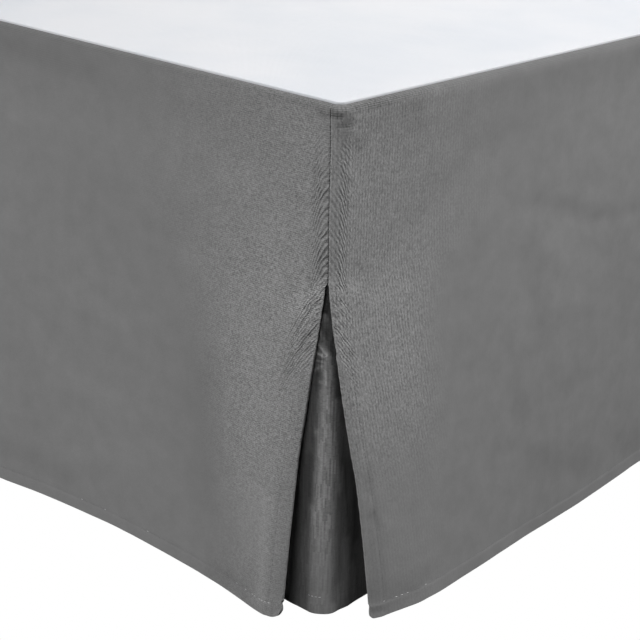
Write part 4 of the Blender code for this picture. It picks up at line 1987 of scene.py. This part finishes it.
@dataclass
class Leg:
    """A turned leg on a nylon glide."""

    number: int
    glide_height: float = 0.006
    segments: int = 40
    sharp_angle: float = math.radians(35.0)

    PROFILE = tuple(TurnedPoint(*pair) for pair in (
        (0.0000, 1.000), (0.0290, 1.000), (0.0298, 0.994), (0.0298, 0.945), (0.0290, 0.938),
        (0.0272, 0.930), (0.0268, 0.918), (0.0284, 0.900), (0.0282, 0.860), (0.0262, 0.640),
        (0.0236, 0.380), (0.0212, 0.120), (0.0204, 0.050), (0.0196, 0.036), (0.0186, 0.035),
        (0.0186, 0.006), (0.0180, 0.000), (0.0000, 0.000),
    ))

    def build(self, wood: bpy.types.Material, glide: bpy.types.Material) -> None:
        """Turn the leg's outline about its axis.

        Args:
            wood: The finish of the leg.
            glide: The finish of its glide.
        """
        node = f"leg_{self.number}"
        low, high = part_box(node)
        axis = (low + high) / 2
        height = high.z - low.z
        bm = bmesh.new()
        outline = [(axis.x + point.radius, axis.y, low.z + point.height * height) for point in self.PROFILE]
        verts = [bm.verts.new(place) for place in outline]
        edges = [bm.edges.new(pair) for pair in zip(verts, verts[1:])]
        bmesh.ops.spin(bm, geom=verts + edges, cent=(axis.x, axis.y, 0.0), axis=(0.0, 0.0, 1.0),
                       dvec=(0.0, 0.0, 0.0), angle=TURN, steps=self.segments, use_merge=True,
                       use_duplicate=False)
        bmesh.ops.remove_doubles(bm, verts=bm.verts, dist=1e-6)
        bmesh.ops.recalc_face_normals(bm, faces=bm.faces)
        for face in bm.faces:
            face.smooth = True
            if face.calc_center_median().z < low.z + self.glide_height:
                face.material_index = 1
        for edge in bm.edges:
            if len(edge.link_faces) == 2 and edge.calc_face_angle(0.0) > self.sharp_angle:
                edge.smooth = False
        leg = make_object(f"turned_leg_{self.number}", bm, [wood, glide])
        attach(leg, BODY)
        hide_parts(node)
        LOG.info("leg %d", self.number)


# ---- The skirt ----


@dataclass
class BedSkirt:
    """The skirt's deck, three panels and two inserts, with their sewing."""

    thread: bpy.types.Material
    grey: bpy.types.Material
    slubbed: bpy.types.Material
    # The inserts' cloth is a darker copy of the grey cloth: painted shade.
    behind: bpy.types.Material
    white: bpy.types.Material
    hem_end: float = 0.004
    deck_hem_end: float = 0.010
    seam_top: float = 0.012
    seam_pitch: float = 0.0024
    seam_bite: float = 0.0009
    seam_slant: float = 0.0005

    def foot(self) -> Panel:
        """The panel across the foot."""
        return Panel(
            "foot_cloth", "foot_panel", "grey_cloth", self.grey,
            width=BED.width, left=FOOT_END, right=FOOT_END, folds=FOOT_FOLDS, creases=FOOT_CREASES,
            edge=(0.0, BED.foot), seed=1.0,
        )

    def right_side(self) -> Panel:
        """The panel on the right side."""
        return Panel(
            "right_side_cloth", "side_panel_right", "grey_cloth", self.slubbed,
            width=BED.length, left=SIDE_END, right=PLAIN_END, folds=RIGHT_FOLDS, creases=RIGHT_CREASES,
            edge=(BED.half_width, BED.middle), heading=QUARTER, seed=31.0,
            pucker_pitch=0.0056, pucker_height=0.00024, fan_rise=1.5, fan_curve=0.0, fan_reach=0.022,
            apex_rough=0.15, low_rough=0.20, low_from=0.190, calm=0.05, rolled_painted_shade=0.05,
            handled_and_lit_to=((0.095, 0.205), (0.140, 0.125), (0.240, 0.112), (0.330, 0.105)),
            roll_painted_shading=RIGHT_ROLL_PAINTED_SHADING, stitch_rise=0.0115, hem_wave=RIGHT_HEM_WAVE,
        )

    def left_side(self) -> Panel:
        """The panel on the left side."""
        return Panel(
            "left_side_cloth", "side_panel_left", "grey_cloth", self.slubbed,
            width=BED.length, left=PLAIN_END, right=SIDE_END, folds=LEFT_FOLDS, creases=LEFT_CREASES,
            edge=(-BED.half_width, BED.middle), heading=-QUARTER, seed=61.0,
            pucker_pitch=0.0060, pucker_height=0.00030, fan_rise=1.5, fan_curve=10.0, fan_reach=0.026,
        )

    def inserts(self) -> list[Insert]:
        """The pieces behind the two foot corners."""
        return [
            Insert("right_insert_cloth", "corner_insert_right", "grey_cloth", self.behind,
                   corner=(BED.half_width, BED.foot), creases=INSERT_CREASES, seed=5.0),
            Insert("left_insert_cloth", "corner_insert_left", "grey_cloth", self.behind,
                   corner=(-BED.half_width, BED.foot), heading=-QUARTER, creases=INSERT_CREASES, seed=9.0),
        ]

    def panel_runs(self, panel: Panel, loose: Sequence[tuple[float, float]]) -> list[StitchLine]:
        """A panel's hem and side hems.

        Args:
            panel: The panel.
            loose: Stretches of its hem where the thread lies proud and takes a painted highlight.

        Returns:
            The runs.
        """
        hem_depth = DROP - panel.stitch_rise
        length = panel.length - 2 * self.hem_end
        runs = [run_on(panel, 0.0, lambda s: (s + self.hem_end, hem_depth), length, loose)]
        for end, side in ((panel.left, 1.0), (panel.right, -1.0)):
            top = SPLIT_DEPTH + 0.012 if end.turn else ROLL_RADIUS + self.hem_end
            along = panel.side_hem if side > 0 else panel.length - panel.side_hem
            runs.append(run_on(panel, 0.0, lambda s, a=along, t=top: (a, t + s), hem_depth - top))
        return runs

    def seam_bars(self, first: Panel, second: Panel) -> list[StitchLine]:
        """The threads that show across a corner seam, one short run for each.

        Args:
            first: The panel left of the seam.
            second: The panel right of it.

        Returns:
            The runs.
        """
        run = Stitching.pitch
        bars = []
        for number in range(int((SPLIT_DEPTH - self.seam_top) / self.seam_pitch) + 1):
            depth = self.seam_top + number * self.seam_pitch
            start = first.place(first.length - self.seam_bite, 0.0, depth)
            end = second.place(self.seam_bite, 0.0, depth + self.seam_slant)
            out = face_outward(lambda a, d: first.place(a, 0.0, d), first.length - 0.004, depth)
            bars.append(StitchLine(
                run * 1.01,
                lambda s, a=start, b=end: a.lerp(b, s / run),
                lambda s, o=out: o,
            ))
        return bars

    def build(self) -> None:
        """Build every sheet and its stitches, and report each."""
        foot, right, left = self.foot(), self.right_side(), self.left_side()
        for panel, loose in ((foot, FOOT_LOOSE), (right, RIGHT_LOOSE), (left, LEFT_LOOSE)):
            stitches = Stitching(panel.name + "_stitches", self.thread).build(self.panel_runs(panel, loose))
            panel.trims.append(stitches)
            panel.build()
            LOG.info(panel.name.replace("_", " "))
        for insert in self.inserts():
            hem_depth = DROP - insert.stitch_rise
            length = 2 * insert.half_length - 2 * self.hem_end
            run = run_on(insert, insert.inset, lambda s: (s - length / 2, hem_depth), length, INSERT_LOOSE)
            insert.trims.append(Stitching(insert.name + "_stitches", self.thread).build([run]))
            insert.build()
            LOG.info(insert.name.replace("_", " "))
        for name, first, second in (("right_seam_threads", foot, right), ("left_seam_threads", left, foot)):
            threads = Stitching(name, self.thread, stitch_length=0.0015, thickness=0.0009)
            threads.build(self.seam_bars(first, second))
            LOG.info(name.replace("_", " "))
        deck = Deck("deck_cloth", "deck", "white_cloth", self.white, held="laid", rests_on=("box_spring",))
        head = deck.back - deck.hem_depth
        right_end = deck.half_width - self.deck_hem_end
        run = run_on(deck, 0.0, lambda s: (right_end - s, head), 2 * right_end)
        deck.trims.append(Stitching("deck_hem_stitches", self.thread, slot="white_cloth").build([run]))
        deck.build()
        LOG.info("deck cloth")


# Stretches of the hems where the thread lies proud and takes a painted highlight, along each run.
FOOT_LOOSE = (
    (1.2620, 1.2648), (1.2900, 1.2928), (1.3440, 1.3468), (1.4526, 1.4554), (1.4646, 1.4674),
    (1.4718, 1.4746), (1.4766, 1.4794), (1.4814, 1.4925),
)
RIGHT_LOOSE = ((0.0060, 0.0085), (0.0165, 0.0193), (0.0237, 0.0265), (0.0285, 0.0313), (0.0480, 0.0508))
LEFT_LOOSE = ((1.200, 1.230), (1.960, 1.985))
INSERT_LOOSE = ((0.1334, 0.1362), (0.1374, 0.1460), (0.1500, 0.1525))


# ---- The studio ----


@dataclass(frozen=True)
class SoftBox:
    """A square lamp that faces the foot corner, or the middle of the bed if it is a fill.

    azimuth runs from the foot's outward direction towards the right side.
    """

    azimuth: float
    elevation: float
    power: float
    fill: bool = False
    distance: float = 3.0


@dataclass
class Studio:
    """Lamps, a white floor and surround, and the camera."""

    lamps: Sequence[SoftBox] = (
        SoftBox(-25.0, 25.0, 62.0),
        SoftBox(135.0, 50.0, 67.7),
        SoftBox(110.0, 50.0, 55.6),
        SoftBox(20.0, 5.0, 15.4),
        SoftBox(0.0, 5.0, 9.6),
        SoftBox(-135.0, 4.0, 115.0, fill=True, distance=3.8),
        SoftBox(-148.0, 68.0, 12.0, fill=True, distance=1.5),
    )
    lamp_size: float = 1.3
    floor_size: float = 14.0
    floor_gap: float = 0.001
    heading: float = 42.048
    pitch: float = 21.225
    roll: float = 1.857
    distance: float = 1.0530
    aside: float = -0.0136
    above: float = -0.1353
    lens: float = 92.08
    sensor: float = 36.0

    @property
    def corner(self) -> Vector:
        """Where the foot's and the right side's drop planes meet the deck."""
        return Vector((BED.half_width, BED.foot, BED.top))

    def build(self) -> None:
        """Make the surround, the floor, the lamps and the camera."""
        self.sky()
        self.floor()
        for number, lamp in enumerate(self.lamps, start=1):
            self.hang(lamp, f"soft_box_{number}")
        self.camera()
        bpy.context.scene.view_settings.view_transform = "Standard"
        LOG.info("studio")

    def sky(self) -> None:
        """Surround the view with white that gives no light."""
        world = bpy.data.worlds.new("white_surround")
        bpy.context.scene.world = world
        world.use_nodes = True
        tree = world.node_tree
        background = tree.nodes["Background"]
        background.inputs["Color"].default_value = (1.0, 1.0, 1.0, 1.0)
        path = tree.nodes.new("ShaderNodeLightPath")
        tree.links.new(path.outputs["Is Camera Ray"], background.inputs["Strength"])

    def floor(self) -> None:
        """Lay a plain white floor that gives no light, takes no shadow and is clear from below."""
        bm = bmesh.new()
        bmesh.ops.create_grid(bm, x_segments=1, y_segments=1, size=self.floor_size / 2,
                              matrix=Matrix.Translation((0.0, 0.0, -self.floor_gap)))
        shader = Shader("white_floor")
        shader.surface.inputs["Emission Color"].default_value = (1.0, 1.0, 1.0, 1.0)
        shader.surface.inputs["Emission Strength"].default_value = 1.0
        below = shader.node("ShaderNodeNewGeometry", {}, {}, "Backfacing")
        shader.feed(shader.surface.inputs["Alpha"], 1.0 - below)
        floor = make_object("floor", bm, [shader.finish((0.0, 0.0, 0.0), 1.0, specular=0.0)])
        floor.visible_diffuse = False
        floor.visible_glossy = False
        floor.visible_shadow = False

    def direction(self, azimuth: float, elevation: float) -> Vector:
        """The direction towards an azimuth and an elevation, in degrees."""
        a, e = math.radians(azimuth), math.radians(elevation)
        return Vector((math.sin(a) * math.cos(e), -math.cos(a) * math.cos(e), math.sin(e)))

    def hang(self, lamp: SoftBox, name: str) -> None:
        """Hang a lamp.

        Args:
            lamp: The lamp.
            name: Its name.
        """
        light = bpy.data.lights.new(name, "AREA")
        light.shape = "SQUARE"
        light.size = self.lamp_size
        light.energy = lamp.power
        obj = bpy.data.objects.new(name, light)
        bpy.context.scene.collection.objects.link(obj)
        towards = self.direction(lamp.azimuth, lamp.elevation)
        faced = Vector((0.0, BED.middle, BED.top)) if lamp.fill else self.corner
        obj.location = faced - Vector((0.0, 0.0, DROP / 2)) + towards * lamp.distance
        obj.rotation_euler = towards.to_track_quat("Z", "Y").to_euler()

    def camera(self) -> None:
        """Aim the camera at the foot corner."""
        back = self.direction(self.heading, self.pitch)
        level_right = (-back).cross(Vector((0.0, 0.0, 1.0))).normalized()
        level_up = level_right.cross(-back)
        roll = math.radians(self.roll)
        right = level_right * math.cos(roll) + level_up * math.sin(roll)
        up = level_up * math.cos(roll) - level_right * math.sin(roll)
        place = self.corner + back * self.distance + right * self.aside + up * self.above
        data = bpy.data.cameras.new("camera")
        data.lens = self.lens
        data.sensor_width = self.sensor
        data.clip_start = 0.01
        obj = bpy.data.objects.new("camera", data)
        bpy.context.scene.collection.objects.link(obj)
        obj.matrix_world = Matrix.Translation(place) @ Matrix((right, up, back)).transposed().to_4x4()
        bpy.context.scene.camera = obj


def main() -> None:
    """Build and dress everything, in order."""
    logging.basicConfig(level=logging.INFO, format="%(name)s: %(message)s")
    Studio().build()
    skirt = BedSkirt(
        thread=Thread().build(),
        grey=GreyCloth("grey_cloth").build(),
        slubbed=GreyCloth(
            "slubbed_grey_cloth",
            Yarn(0.0008, 0.0017, 0.51),
            Yarn(0.0007, 0.0011, 0.30),
            row_tone=0.0,
            rib_tone=0.13,
            mottle=0.32,
            pucker_height=0.00025,
            pucker_painted_shading=0.17,
            drawn_share=2.0,
            drawn_reach=0.026,
            fan_share=3.4,
            fan_rise=1.5,
            fan_curve=0.0,
            fan_reach=0.026,
        ).build(),
        # A darker copy of the grey cloth for the inserts, as painted shade.
        behind=GreyCloth(
            "grey_cloth_behind_painted_shade",
            Yarn(0.0012, 0.0110, 0.60),
            Yarn(0.0009, 0.0016, 0.25),
            (0.190, 0.190, 0.190),
            row_tone=0.0,
            painted_shading=0.75,
            painted_shading_streaks=0.0,
        ).build(),
        white=DeckCloth().build(),
    )
    skirt.build()
    BoxSpring().build(Ticking().build(), DustCover().build())
    wood, glide = Beech().build(), Nylon().build()
    for number in range(1, 7):
        Leg(number).build(wood, glide)


if __name__ == "__main__":
    main()
